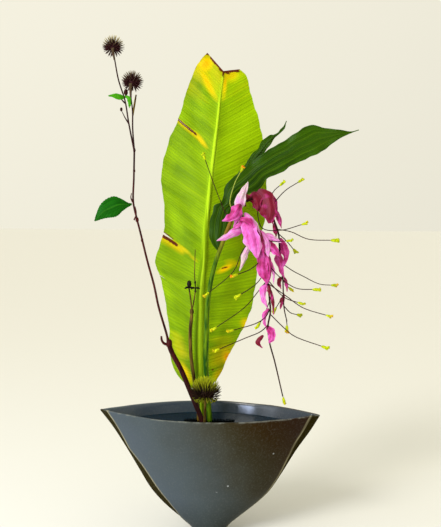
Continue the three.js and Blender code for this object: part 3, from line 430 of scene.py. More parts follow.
@dataclass
class Blade:
    """A leaf or petal between a rib and two edges, matched row by row so that rows follow its veins."""

    name: str
    rows: Sequence[tuple[Place, Place, Place]]
    along: int
    across: int
    thick: float
    lift: Lift
    tears: Sequence[Tear] = ()
    ripple: Lift | None = None
    marks: Marks | None = None

    def lines(self) -> tuple[Values, list[tuple[int, Tear]]]:
        """The shares along the rib at which the blade has lines of vertices, evenly spaced by length.

        Returns:
            The shares, and the index of the lower line of each tear with the tear.
        """
        fine = np.linspace(0, 1, 60 * len(self.rows))
        rib = Route([row[0] for row in self.rows]).at(fine)
        run = np.concatenate([[0], np.cumsum(np.linalg.norm(np.diff(rib, axis=0), axis=1))])
        even = np.interp(np.linspace(0, run[-1], self.along + 1), run, fine)
        step = 1 / self.along
        kept = [s for s in even if all(abs(s - tear.at) > 0.6 * step for tear in self.tears)]
        pairs = [(tear.at - 0.02 * step, tear.at + 0.02 * step, tear) for tear in self.tears]
        shares = sorted(kept + [low for low, _, _ in pairs] + [high for _, high, _ in pairs])
        return np.array(shares), [(shares.index(low), tear) for low, _, tear in pairs]

    def surface(self, along: Values, across: Values) -> Values:
        """Places on the flat skin of the blade.

        Args:
            along: Share along the rib, from foot to tip.
            across: From -1 at the left edge to 1 at the right edge.

        Returns:
            One place to a row.
        """
        rib, left, right = (Route([row[i] for row in self.rows]).at(along) for i in range(3))
        side = np.where((across < 0)[:, None], left, right)
        reach = np.abs(across)
        if self.ripple:
            reach = reach * (1 + self.ripple(across, along))
        return rib + (side - rib) * reach[:, None]

    def normals(self, along: Values, across: Values) -> Values:
        """The way that the skin faces, by small steps along and across it.

        Args:
            along: Share along the rib.
            across: From -1 to 1.

        Returns:
            One way of length 1 to a row.
        """
        step = 0.004
        wide = 4 * step
        a = np.clip(along, step, 1 - step)
        c = np.clip(across, wide - 1, 1 - wide)
        up = self.surface(a + step, c) - self.surface(a - step, c)
        over = self.surface(a, c + wide) - self.surface(a, c - wide)
        normal = np.cross(over, up)
        return normal / np.maximum(np.linalg.norm(normal, axis=1, keepdims=True), 1e-9)

    def build(self) -> Piece:
        """Shapes a grid into the blade, cuts its tears and gives it thickness.

        Returns:
            The blade as a mesh in the part's frame.
        """
        shares, torn = self.lines()
        grid = new_grid(self.name, 2 * self.across, len(shares) - 1)
        share_across, share_along = grid_places(grid)
        line = np.round(share_along * (len(shares) - 1)).astype(int)
        across = share_across * 2 - 1
        along = shares[line]
        for index, tear in torn:
            past = np.clip((across * tear.side.value - tear.reach_in) / (1 - tear.reach_in), 0, 1)
            along = np.where(line == index, along - tear.gap * past, along)
            along = np.where(line == index + 1, along + tear.gap * past, along)
        along = np.clip(along, 0, 1)
        points = self.surface(along, across)
        points += self.normals(along, across) * self.lift(across, along)[:, None]
        for name, values in (self.marks(across, along, points) if self.marks else {}).items():
            paint(grid, name, values)
        self.cut(grid, torn, line, across)
        put(grid, placed(points))
        self.thicken(grid)
        return grid

    def cut(self, grid: Piece, torn: list[tuple[int, Tear]], line: Values, across: Values) -> None:
        """Selects the narrow faces inside each tear, by line and place, and deletes them.

        Args:
            grid: The blade before it has a thickness.
            torn: The lower line of each tear, and the tear.
            line: The line on which each vertex lies.
            across: From -1 to 1, for each vertex.
        """
        if not torn:
            return
        choose(grid)
        bpy.ops.object.mode_set(mode="EDIT")
        bpy.ops.mesh.select_mode(type="FACE")
        bpy.ops.mesh.select_all(action="DESELECT")
        bpy.ops.object.mode_set(mode="OBJECT")
        for face in grid.data.polygons:
            ends = list(face.vertices)
            for index, tear in torn:
                inside = all(line[i] in (index, index + 1) for i in ends)
                face.select |= inside and all(across[i] * tear.side.value >= tear.reach_in for i in ends)
        bpy.ops.object.mode_set(mode="EDIT")
        bpy.ops.mesh.delete(type="FACE")
        bpy.ops.object.mode_set(mode="OBJECT")

    def thicken(self, grid: Piece) -> None:
        """Gives the skin its thickness.

        Args:
            grid: The shaped skin.
        """
        choose(grid)
        solidify = grid.modifiers.new("thickness", "SOLIDIFY")
        solidify.thickness = self.thick * MM
        solidify.offset = 0
        bpy.ops.object.modifier_apply(modifier=solidify.name)
        smooth(grid, 50)


class Recipe:
    """A node material while it is put together."""

    def __init__(self, name: str) -> None:
        """Starts with one principled surface.

        Args:
            name: Name of the material.
        """
        self.material = bpy.data.materials.new(name)
        self.material.use_nodes = True
        self.tree = self.material.node_tree
        self.tree.nodes.clear()
        self.surface = self.tree.nodes.new("ShaderNodeBsdfPrincipled")
        output = self.tree.nodes.new("ShaderNodeOutputMaterial")
        self.tree.links.new(self.surface.outputs["BSDF"], output.inputs["Surface"])
        self.coordinates = self.tree.nodes.new("ShaderNodeTexCoord")

    def feed(self, socket: Socket, value: object) -> None:
        """Links an input to another node, or sets it.

        Args:
            socket: The input.
            value: An output socket, a number or a colour.
        """
        if isinstance(value, Socket):
            self.tree.links.new(value, socket)
        else:
            socket.default_value = value

    def node(self, kind: str, **values: object) -> bpy.types.Node:
        """Adds a node and feeds its inputs.

        Args:
            kind: The node's type, after ShaderNode.
            values: What each input gets, with _ for a space in its name.

        Returns:
            The node.
        """
        node = self.tree.nodes.new(f"ShaderNode{kind}")
        for name, value in values.items():
            self.feed(node.inputs[name.replace("_", " ")], value)
        return node

    def set(self, **values: object) -> None:
        """Feeds the surface's own inputs, with _ for a space in a name."""
        for name, value in values.items():
            self.feed(self.surface.inputs[name.replace("_", " ")], value)

    def stretched(self, scale: Place = (1, 1, 1), source: str = "Object") -> Socket:
        """The Object or UV coordinates, scaled each way."""
        return self.node("Mapping", Vector=self.coordinates.outputs[source], Scale=scale).outputs["Vector"]

    def noise(self, vector: Socket, scale: float, detail: float = 3, rough: float = 0.5) -> Socket:
        """Soft noise from 0 to 1."""
        node = self.node("TexNoise", Vector=vector, Scale=scale, Detail=detail, Roughness=rough)
        return node.outputs["Fac"]

    def specks(self, vector: Socket, scale: float) -> Socket:
        """Distance to the nearest of many scattered points."""
        return self.node("TexVoronoi", Vector=vector, Scale=scale).outputs["Distance"]

    def veins(self, scale: float, bend: float) -> Socket:
        """Soft lines that run across a blade, slightly bent.

        Args:
            scale: How many lines there are along the blade.
            bend: How far they wander.

        Returns:
            From 0 between the lines to 1 on them.
        """
        plane = self.stretched(source="UV")
        node = self.node("TexWave", Vector=plane, Scale=scale, Distortion=bend, Detail=2.0, Detail_Scale=1.5)
        node.wave_type = "BANDS"
        node.bands_direction = "Y"
        return node.outputs["Fac"]

    def attribute(self, name: str) -> Socket:
        """A painted number of the piece.

        Args:
            name: Name that it was painted under.

        Returns:
            The number.
        """
        node = self.node("Attribute")
        node.attribute_name = name
        return node.outputs["Fac"]

    def ramp(self, value: Socket, stops: Sequence[tuple[float, Colour]]) -> Socket:
        """Colours along a value.

        Args:
            value: Where on the ramp.
            stops: Position and colour of each stop, in order.

        Returns:
            The colour.
        """
        node = self.node("ValToRGB", Fac=value)
        elements = node.color_ramp.elements
        while len(elements) < len(stops):
            elements.new(1)
        for element, (position, colour) in zip(elements, stops):
            element.position = position
            element.color = colour
        return node.outputs["Color"]

    def blend(self, share: Socket, low: object, high: object) -> Socket:
        """Mixes two colours.

        Args:
            share: How much of the second one shows.
            low: The first colour.
            high: The second colour.

        Returns:
            The mixed colour.
        """
        node = self.node("Mix")
        node.data_type = "RGBA"
        factor = next(s for s in node.inputs if s.type == "VALUE" and s.name == "Factor")
        ends = [s for s in node.inputs if s.type == "RGBA"]
        for socket, value in zip((factor, *ends), (share, low, high)):
            self.feed(socket, value)
        return next(s for s in node.outputs if s.type == "RGBA")

    def axis(self, vector: Socket, name: str) -> Socket:
        """One of a vector's three numbers."""
        return self.node("SeparateXYZ", Vector=vector).outputs[name]

    def reckon(self, kind: str, first: object, second: object, clamp: bool = False) -> Socket:
        """One step of arithmetic.

        Args:
            kind: Blender's name of the step.
            first: A socket or a number.
            second: A socket or a number.
            clamp: Whether the result is held between 0 and 1.

        Returns:
            The result.
        """
        node = self.node("Math")
        node.operation = kind
        node.use_clamp = clamp
        self.feed(node.inputs[0], first)
        self.feed(node.inputs[1], second)
        return node.outputs["Value"]

    def plus(self, first: object, second: object) -> Socket:
        """The sum of two values."""
        return self.reckon("ADD", first, second)

    def times(self, first: object, second: object, clamp: bool = False) -> Socket:
        """The product of two values."""
        return self.reckon("MULTIPLY", first, second, clamp)

    def spread(self, value: Socket, low: float, high: float, to: tuple[float, float] = (0, 1)) -> Socket:
        """The range of a value from low to high, stretched over another range and held in it."""
        ends = {"From_Min": low, "From_Max": high, "To_Min": to[0], "To_Max": to[1]}
        return self.node("MapRange", Value=value, **ends).outputs["Result"]

    def relief(self, height: Socket, strength: float, distance: float) -> None:
        """Raises the surface by a pattern, up to a distance in metres."""
        bump = self.node("Bump", Height=height, Strength=strength, Distance=distance)
        self.set(Normal=bump.outputs["Normal"])


@dataclass(frozen=True)
class StonewareGlaze:
    """Dark satin glaze, glossier inside, with painted reflection and shade in its colour: cool grey at the
    left, dark warm brown at the right.
    """

    # Painted reflection and shade: a cool grey window reflection at the left, going to a dark warm brown
    # reflection and shade at the right.
    body: tuple[tuple[float, Colour], ...] = (
        (0.1, shade(70, 79, 86)),
        (0.25, shade(68, 76, 78)),
        (0.4, shade(62, 67, 65)),
        (0.52, shade(58, 58, 49)),
        (0.62, shade(49, 44, 27)),
        (0.76, shade(43, 28, 0)),
        (0.9, shade(38, 18, 0)),
    )
    # Painted shade on the side facets beyond the front creases.
    shaded_facet: Colour = shade(40, 34, 8)
    inside: Colour = shade(54, 64, 74)
    worn: Colour = shade(112, 114, 106)
    # Painted highlight along the front creases.
    line: Colour = shade(168, 160, 126)
    speck: Colour = shade(205, 210, 208)
    half_width: float = 0.15
    height: float = 0.166
    # Painted shade near the foot, tinted olive like light bounced from below.
    foot: Colour = shade(26, 30, 12)
    foot_shade_height: float = 0.055

    def make(self) -> bpy.types.Material:
        """Builds the glaze.

        Returns:
            The finish, which reads the vase's painted numbers.
        """
        mix = Recipe("stoneware_glaze")
        place = mix.stretched()
        cloud = mix.noise(place, 14, 4, 0.6)
        fine = mix.noise(place, 420, 2, 0.6)
        inside, shaded_facet = mix.attribute("inside"), mix.attribute("shaded_facet")
        # Painted reflection and shade: cool grey at the left, dark brown at the right, and cooler lower down.
        side = mix.spread(mix.axis(place, "X"), -self.half_width, self.half_width)
        side = mix.plus(side, mix.spread(mix.axis(place, "Z"), 0, self.height, (-0.28, 0.04)))
        side = mix.plus(side, mix.spread(cloud, 0.3, 0.7, (-0.05, 0.05)))
        body = mix.ramp(side, self.body)
        # Painted shade: the colour darkens towards the foot.
        body = mix.blend(mix.spread(mix.axis(place, "Z"), self.foot_shade_height, 0.0, (0, 0.6)), body, self.foot)
        body = mix.blend(mix.times(inside, 0.8), body, self.inside)
        # Painted shade: the side facets beyond the creases are darkened.
        body = mix.blend(mix.times(shaded_facet, 0.97), body, self.shaded_facet)
        body = mix.blend(mix.spread(fine, 0.5, 0.8, (0, 0.16)), body, self.worn)
        rare = mix.spread(mix.noise(place, 31, 1), 0.56, 0.6)
        dots = mix.times(mix.spread(mix.specks(place, 55), 0.1, 0.07), rare, clamp=True)
        body = mix.blend(mix.times(dots, 0.5), body, self.speck)
        uneven = mix.spread(mix.noise(place, 130, 3), 0.42, 0.62)
        body = mix.blend(mix.times(mix.attribute("worn"), uneven, clamp=True), body, self.worn)
        # Painted highlight: a pale line along each front crease.
        line = mix.times(mix.attribute("line"), mix.spread(cloud, 0.35, 0.6, (0.45, 1.0)))
        mix.set(Base_Color=mix.blend(line, body, self.line))
        satin = mix.reckon("SUBTRACT", mix.spread(cloud, 0.3, 0.75, (0.4, 0.5)), mix.times(inside, 0.26))
        mix.set(Roughness=mix.plus(satin, mix.times(shaded_facet, 0.3)))
        gloss = mix.plus(mix.times(inside, 0.7), 0.07)
        mix.set(Specular_IOR_Level=mix.reckon("SUBTRACT", gloss, mix.times(shaded_facet, 0.07)))
        mix.relief(mix.plus(cloud, mix.times(fine, 0.12)), 0.35, 0.0008)
        return mix.material


@dataclass(frozen=True)
class StillWater:
    """Clear still water over a dark basin."""

    tint: Colour = shade(52, 92, 116)

    def make(self) -> bpy.types.Material:
        """Builds the water.

        Returns:
            The finish.
        """
        mix = Recipe("still_water")
        mix.set(Base_Color=self.tint, Roughness=0.02, IOR=1.33, Transmission_Weight=0.9)
        mix.relief(mix.noise(mix.stretched(), 35, 2), 0.06, 0.001)
        return mix.material


@dataclass(frozen=True)
class DullMetal:
    """Dull metal with a little tarnish."""

    name: str
    dark: Colour
    light: Colour
    roughness: float = 0.5
    metallic: float = 0.85

    def make(self) -> bpy.types.Material:
        """Builds the metal.

        Returns:
            The finish.
        """
        mix = Recipe(self.name)
        stain = mix.noise(mix.stretched(), 160, 4)
        mix.set(Base_Color=mix.blend(mix.spread(stain, 0.35, 0.65), self.dark, self.light))
        mix.set(Roughness=mix.spread(stain, 0.3, 0.7, (self.roughness - 0.1, self.roughness + 0.15)))
        mix.set(Metallic=self.metallic, Specular_IOR_Level=self.metallic * 0.6)
        mix.relief(stain, 0.3, 0.0004)
        return mix.material


@dataclass(frozen=True)
class BananaSkin:
    """Waxy yellow-green leaf skin with close parallel veins, yellowing and dry brown places."""

    green: Colour = shade(138, 172, 0)
    deep: Colour = shade(96, 130, 0)
    # Bright green, used for broad tone changes and for the painted light on the blade's right half.
    bright: Colour = shade(162, 200, 0)
    yellow: Colour = shade(230, 192, 0)
    orange: Colour = shade(236, 148, 0)
    rib: Colour = shade(194, 232, 34)
    dry: Colour = shade(88, 34, 12)

    def make(self) -> bpy.types.Material:
        """Builds the leaf skin.

        Returns:
            The finish, which reads the leaf's painted numbers and a UV map across and along the blade.
        """
        mix = Recipe("banana_skin")
        streaks = mix.noise(mix.stretched((2.2, 120, 1), "UV"), 1, 3, 0.6)
        bands = mix.noise(mix.stretched((1.2, 26, 1), "UV"), 1)
        broad = mix.noise(mix.stretched((2.5, 6, 1), "UV"), 1)
        body = mix.blend(mix.spread(bands, 0.35, 0.68, (0, 0.8)), self.deep, self.green)
        body = mix.blend(mix.spread(broad, 0.45, 0.72, (0, 0.6)), body, self.bright)
        body = mix.blend(mix.spread(streaks, 0.52, 0.75, (0, 0.5)), body, self.deep)
        veins = mix.veins(36, 0.6)
        body = mix.blend(mix.spread(veins, 0.5, 1, (0, 0.4)), body, self.deep)
        ragged = mix.plus(mix.attribute("yellowing"), mix.spread(bands, 0.3, 0.7, (-0.14, 0.14)))
        body = mix.blend(mix.spread(ragged, 0.12, 0.85, (0, 0.95)), body, self.yellow)
        body = mix.blend(mix.spread(ragged, 0.72, 1.05, (0, 0.8)), body, self.orange)
        # Painted light: the painted number far lightens the upper right half of the blade.
        body = mix.blend(mix.times(mix.attribute("far"), 0.5), body, self.bright)
        threads = mix.noise(mix.stretched((240, 240, 4)), 1, 2)
        rib = mix.blend(mix.spread(threads, 0.3, 0.5), self.green, self.rib)
        # Painted shade: the painted number furrow darkens the hollows of the stalk.
        body = mix.blend(mix.attribute("furrow"), body, self.deep)
        body = mix.blend(mix.attribute("rib"), body, rib)
        crumbs = mix.noise(mix.stretched(), 260, 4, 0.7)
        brown = mix.plus(mix.attribute("drying"), mix.spread(crumbs, 0.3, 0.7, (-0.25, 0.25)))
        mix.set(Base_Color=mix.blend(mix.spread(brown, 0.35, 0.6), body, self.dry))
        mix.set(Subsurface_Weight=0.08, Subsurface_Radius=(0.004, 0.004, 0.001), Subsurface_Scale=1.0)
        mix.set(Roughness=mix.spread(broad, 0.3, 0.7, (0.42, 0.58)), Specular_IOR_Level=0.06)
        mix.relief(mix.plus(veins, streaks), 0.35, 0.0006)
        return mix.material


@dataclass(frozen=True)
class LongVeinedSkin:
    """Leaf skin whose veins run with the rib, as on ginger."""

    name: str
    dark: Colour
    light: Colour
    rib: Colour
    gloss: float = 0.36

    def make(self) -> bpy.types.Material:
        """Builds the leaf skin.

        Returns:
            The finish, which reads the leaf's painted numbers and a UV map across and along the blade.
        """
        mix = Recipe(self.name)
        streaks = mix.noise(mix.stretched((34, 1.2, 1), "UV"), 1, 3, 0.55)
        broad = mix.noise(mix.stretched((3, 5, 1), "UV"), 1)
        body = mix.blend(mix.spread(streaks, 0.36, 0.66), self.dark, self.light)
        body = mix.blend(mix.spread(broad, 0.45, 0.7, (0, 0.6)), body, self.dark)
        body = mix.blend(mix.times(mix.attribute("far"), 0.4), body, self.light)
        mix.set(Base_Color=mix.blend(mix.attribute("rib"), body, self.rib), Specular_IOR_Level=0.08)
        mix.set(Roughness=mix.spread(broad, 0.3, 0.7, (self.gloss - 0.08, self.gloss + 0.1)))
        mix.set(Subsurface_Weight=0.04, Subsurface_Radius=(0.002, 0.003, 0.001), Subsurface_Scale=1.0)
        mix.relief(streaks, 0.5, 0.0007)
        return mix.material


@dataclass(frozen=True)
class SoftPetal:
    """Soft bract skin in wine, orchid and pale pink, finely streaked, with painted shade in its folds."""

    wine: Colour = shade(116, 0, 32)
    dusty: Colour = shade(184, 40, 120)
    orchid: Colour = shade(222, 92, 180)
    pink: Colour = shade(234, 140, 208)
    pale: Colour = shade(210, 180, 184)
    # Dark colour for the fine streaks and for the painted shade in the folds.
    fold: Colour = shade(92, 0, 44)

    def make(self) -> bpy.types.Material:
        """Builds the bract skin.

        Returns:
            The finish, which reads each bract's painted hue and painted fold shade and a UV map across and
            along it.
        """
        mix = Recipe("soft_petal")
        streaks = mix.noise(mix.stretched((16, 1.4, 1), "UV"), 1)
        cloud = mix.noise(mix.stretched(), 90)
        hue = mix.plus(mix.attribute("hue"), mix.spread(cloud, 0.3, 0.7, (-0.2, 0.2)))
        colours = (self.wine, self.dusty, self.orchid, self.pink, self.pale)
        body = mix.ramp(hue, list(zip((0.08, 0.28, 0.5, 0.75, 0.95), colours)))
        body = mix.blend(mix.spread(streaks, 0.52, 0.74, (0, 0.5)), body, self.fold)
        # Painted shade: darkens the valleys between the pleats; darker towards the foot too.
        body = mix.blend(mix.attribute("fold"), body, self.fold)
        mix.set(Base_Color=body, Roughness=0.5, Specular_IOR_Level=0.25)
        mix.set(Sheen_Weight=0.1, Sheen_Roughness=0.4)
        mix.set(Subsurface_Weight=0.12, Subsurface_Radius=(0.004, 0.0015, 0.002), Subsurface_Scale=1.0)
        mix.relief(streaks, 0.5, 0.0006)
        return mix.material


@dataclass(frozen=True)
class PlantSkin:
    """Mottled skin for stems, spines and small flowers, blended with a third colour by a painted number."""

    name: str
    dark: Colour
    light: Colour
    other: Colour
    blend_by: str
    stretch: Place = (1, 1, 0.15)
    scale: float = 320
    roughness: float = 0.5
    height: float = 0.0004

    def make(self) -> bpy.types.Material:
        """Builds the skin.

        Returns:
            The finish, which reads the painted number that `blend_by` names.
        """
        mix = Recipe(self.name)
        grain = mix.noise(mix.stretched(self.stretch), self.scale, 3, 0.6)
        body = mix.blend(mix.spread(grain, 0.36, 0.66), self.dark, self.light)
        mix.set(Base_Color=mix.blend(mix.attribute(self.blend_by), body, self.other), Specular_IOR_Level=0.1)
        mix.set(Roughness=mix.spread(grain, 0.3, 0.7, (self.roughness - 0.08, self.roughness + 0.1)))
        mix.relief(grain, 0.5, self.height)
        return mix.material


LEAD_BASE = DullMetal("lead_base", shade(38, 38, 40), shade(70, 70, 72))
DARK_PINS = DullMetal("dark_pins", shade(3, 4, 3), shade(12, 12, 10), roughness=0.7, metallic=0.0)

GINGER_LEAF = LongVeinedSkin("ginger_leaf_skin", shade(18, 44, 0), shade(58, 94, 0), shade(98, 128, 16))
FRESH_LEAF = LongVeinedSkin("fresh_leaf_skin", shade(6, 72, 0), shade(24, 104, 4), shade(70, 140, 30), 0.45)
YOUNG_LEAF = LongVeinedSkin(
    "young_leaf_skin", shade(34, 120, 2), shade(92, 176, 6), shade(120, 180, 30), 0.45
)

GINGER_STEM = PlantSkin("ginger_stem_skin", shade(18, 66, 0), shade(98, 130, 2), shade(150, 92, 34), "ripe_and_shade")
FLOWER_STALK = PlantSkin("flower_stalk_skin", shade(30, 6, 8), shade(58, 18, 14), shade(150, 160, 62), "ripe_and_shade")
OLIVE_BARK = PlantSkin("olive_bark", shade(46, 30, 4), shade(112, 90, 30), shade(22, 18, 8), "ripe_and_shade")
# Its third colour serves the riper top and the painted shade at the foot.
MAROON_BARK = PlantSkin(
    "maroon_bark", shade(34, 2, 4), shade(76, 16, 14), shade(34, 14, 10), "ripe_and_shade", height=0.0008
)
SMALL_FLOWER = PlantSkin(
    "small_flower_skin", shade(140, 156, 4), shade(208, 216, 8), shade(236, 104, 16), "orange",
    stretch=(1, 1, 1), scale=400,
)
DRY_HEAD = PlantSkin(
    "seed_head_skin", shade(24, 6, 8), shade(66, 26, 28), shade(186, 172, 120), "tip",
    stretch=(1, 1, 1), scale=500, roughness=0.65,
)
FRESH_HEAD = PlantSkin(
    "low_head_skin", shade(16, 8, 8), shade(50, 30, 16), shade(172, 178, 20), "tip",
    stretch=(1, 1, 1), scale=500, roughness=0.6,
)


def dress(piece: Piece, material: bpy.types.Material, slot: str, *nodes: str) -> Piece:
    """Gives a piece its finish and its place in the part.

    Args:
        piece: The finished mesh.
        material: Its finish.
        slot: A material slot's name, which is not used.
        nodes: The CAD nodes that it stands for.

    Returns:
        The piece.
    """
    piece.data.materials.clear()
    piece.data.materials.append(material)
    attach(piece, BODY)
    if nodes:
        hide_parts(*nodes)
    log.info("%s: %d faces", piece.name, len(piece.data.polygons))
    return piece


@dataclass(frozen=True)
class Level:
    """One level of the vase's outside, in millimetres."""

    z: float
    left: float
    right: float
    depth: float
    power: float


@dataclass
class Vase:
    """The boat vase: a lens-shaped mouth, a creased front panel, a raised basin and a small flat foot."""

    rim: float = 166
    wall: float = 4.6
    floor: float = 118
    around: int = 220
    back_swell: float = 0.12
    levels: tuple[Level, ...] = (
        Level(0, 22, 19, 19, 0.5),
        Level(10, 32, 26, 22, 0.52),
        Level(24, 51, 42, 27, 0.55),
        Level(40, 69, 62, 33, 0.65),
        Level(58, 84.5, 80, 39, 0.75),
        Level(82, 99, 96, 46, 0.85),
        Level(117, 120, 117, 55, 0.95),
        Level(143, 137, 135, 60, 1),
        Level(166, 155, 149, 62, 1),
    )
    left_crease: tuple[tuple[float, float], ...] = (
        (12, 1.5), (22, 8), (32, 14.5), (45, 17.5), (58, 17),
        (71, 15), (93, 12), (113, 5), (138, 8.5), (166, 13),
    )
    right_crease: tuple[tuple[float, float], ...] = ((80, 2), (113, 6), (131, 10), (166, 13))

    def sizes(self, z: Values) -> dict[str, Values]:
        """The vase's reach, depth and roundness, on smooth curves through its levels.

        Args:
            z: Heights.

        Returns:
            The sizes at those heights, by name.
        """
        heights = np.array([level.z for level in self.levels])
        result = {}
        for name in ("left", "right", "depth", "power"):
            values = np.array([getattr(level, name) for level in self.levels])
            result[name] = monotone(heights, values, z)
        return result

    def crease(self, rows: tuple[tuple[float, float], ...], z: Values) -> Values:
        """How far a crease lies in from the side edge, at given heights."""
        return np.interp(z, *zip(*rows))

    def ring(self, turn: Values, z: Values, inset: Values, creased: Values) -> Values:
        """Places on the level outline of the vase.

        Args:
            turn: Share round the outline: the front from 0 to 0.5, left to right, and the back from 0.5 to 1.
            z: Height of each place.
            inset: How far each place lies inside the outside skin.
            creased: 1 where the front panel's creases show and 0 where they don't.

        Returns:
            One place to a row, in the part's own millimetres.
        """
        size = self.sizes(z)
        ends = inset * (1 + 0.6 * (2 * size["power"] - 1))
        left, right = size["left"] - ends, size["right"] - ends
        depth = size["depth"] - inset
        front = turn < 0.5
        depth = np.where(front, depth, depth * (1 + self.back_swell * z / self.rim))
        angle = np.where(front, turn * 2 * np.pi, (1 - turn) * 2 * np.pi)
        start = np.arccos(1 - self.crease(self.left_crease, z) / left)
        stop = np.pi - np.arccos(1 - self.crease(self.right_crease, z) / right)
        x = -np.cos(angle) * np.where(angle < np.pi / 2, left, right)
        y = depth * np.sin(angle) ** (2 * size["power"])
        for edge, reach, side in ((start, left, -1), (stop, right, 1)):
            past = (angle < edge) if side < 0 else (angle > edge)
            corner_x = -np.cos(edge) * reach
            corner_y = depth * np.sin(edge) ** (2 * size["power"])
            share = np.clip((np.abs(x) - np.abs(corner_x)) / np.maximum(reach - np.abs(corner_x), TINY), 0, 1)
            hollow = 1 - 0.12 * np.sin(np.pi * share)
            y = np.where(front & past & (creased > 0), corner_y * (1 - share) * hollow, y)
            ridge = 0.7 * np.exp(-(((angle - edge) / 0.02) ** 2)) * (creased > 0)
            y = np.where(front, y + ridge, y)
        return np.column_stack([x, np.where(front, -y, y), z])

    def path(self) -> list[tuple[float, float, float, float]]:
        """The section from the foot's middle over the rim to the basin's middle.

        Returns:
            Height, inset, closing and crease of each row.
        """
        rim, wall, floor = self.rim, self.wall, self.floor
        rows = [(0.0, 0.0, share, 0.0) for share in (0.0, 0.5, 0.9)]
        rows += [(0.0, 0.6, 1.0, 0.0), (0.6, 0.0, 1.0, 1.0)]
        rows += [(z, 0.0, 1.0, 1.0) for z in np.linspace(3, rim - 2.2, 62)]
        rows += [(rim - 1.0, 0.25, 1.0, 1.0), (rim - 0.2, 1.0, 1.0, 1.0), (rim, 2.0, 1.0, 0.6)]
        rows += [(rim, wall - 1.6, 1.0, 0.0), (rim - 0.8, wall - 0.5, 1.0, 0.0)]
        rows += [(z, wall, 1.0, 0.0) for z in np.linspace(rim - 3, floor + 9, 14)]
        rows += [(floor + 4, wall + 1.2, 1.0, 0.0), (floor + 1.2, wall + 4, 1.0, 0.0)]
        rows += [(floor, wall + 8, share, 0.0) for share in (1.0, 0.6, 0.0)]
        return rows

    def build(self) -> Piece:
        """Shapes a grid into the vase's whole skin and closes it.

        Returns:
            The vase, with its rim and inside painted, its side facets marked for painted shade and its crease
            lines for a painted highlight.
        """
        path = np.array(self.path())
        grid = new_grid("vase_dressed", self.around, len(path) - 1)
        turn, along = grid_places(grid)
        row = np.round(along * (len(path) - 1)).astype(int)
        z, inset, closing, creased = path[row].T
        points = self.ring(np.mod(turn, 1), z, inset, creased)
        points[:, :2] *= closing[:, None]
        wobble = 0.5 * np.sin(turn * 23 + 1) + 0.35 * np.sin(turn * 61)
        points[:, 2] += np.minimum(wobble, 0) * rise(z, self.rim - 3, 3)
        size = self.sizes(z)
        left = points[:, 0] < 0
        edge = np.where(left, -points[:, 0] - size["left"], points[:, 0] - size["right"])
        rows = np.where(left, self.crease(self.left_crease, z), self.crease(self.right_crease, z))
        front = (points[:, 1] < 0) & (creased > 0)
        paint(grid, "worn", rise(z, self.rim - 1.4, 1.2) * (creased > 0))
        paint(grid, "inside", (inset > self.wall - 0.6) & (z > self.floor - 1))
        # Painted shade: marks the side facets beyond the front creases, which the glaze darkens.
        paint(grid, "shaded_facet", front * rise(edge + rows, -0.3, 0.8) * (rows > 0.5))
        # Painted highlight: marks a thin line along each front crease, which the glaze lightens.
        paint(grid, "line", front * np.exp(-(((edge + rows) / 0.9) ** 2)) * (rows > 0.5))
        put(grid, points * MM)
        outward(grid)
        smooth(grid, 28)
        return grid

    def water(self, level: float) -> Piece:
        """The water's film, which climbs a little at the wall.

        Args:
            level: Height of its surface.

        Returns:
            The water.
        """
        rows = [(level - 3, 0.4, share) for share in (0.0, 0.7, 1.0)]
        rows += [(level + 0.7, 0.15, 1.0), (level + 0.2, 1.2, 1.0), (level, 2.6, 1.0)]
        rows += [(level, 3.5, share) for share in (1.0, 0.8, 0.5, 0.25, 0.0)]
        path = np.array(rows)
        grid = new_grid("water_dressed", 160, len(path) - 1)
        turn, along = grid_places(grid)
        z, inset, closing = path[np.round(along * (len(path) - 1)).astype(int)].T
        points = self.ring(np.mod(turn, 1), z, inset + self.wall - 0.3, np.zeros_like(z))
        points[:, :2] *= closing[:, None]
        put(grid, points * MM)
        outward(grid)
        smooth(grid, 40)
        return grid


def read_heights(piece: Piece) -> Values:
    """The height of each vertex, in millimetres."""
    return corners(piece)[:, 2] / MM


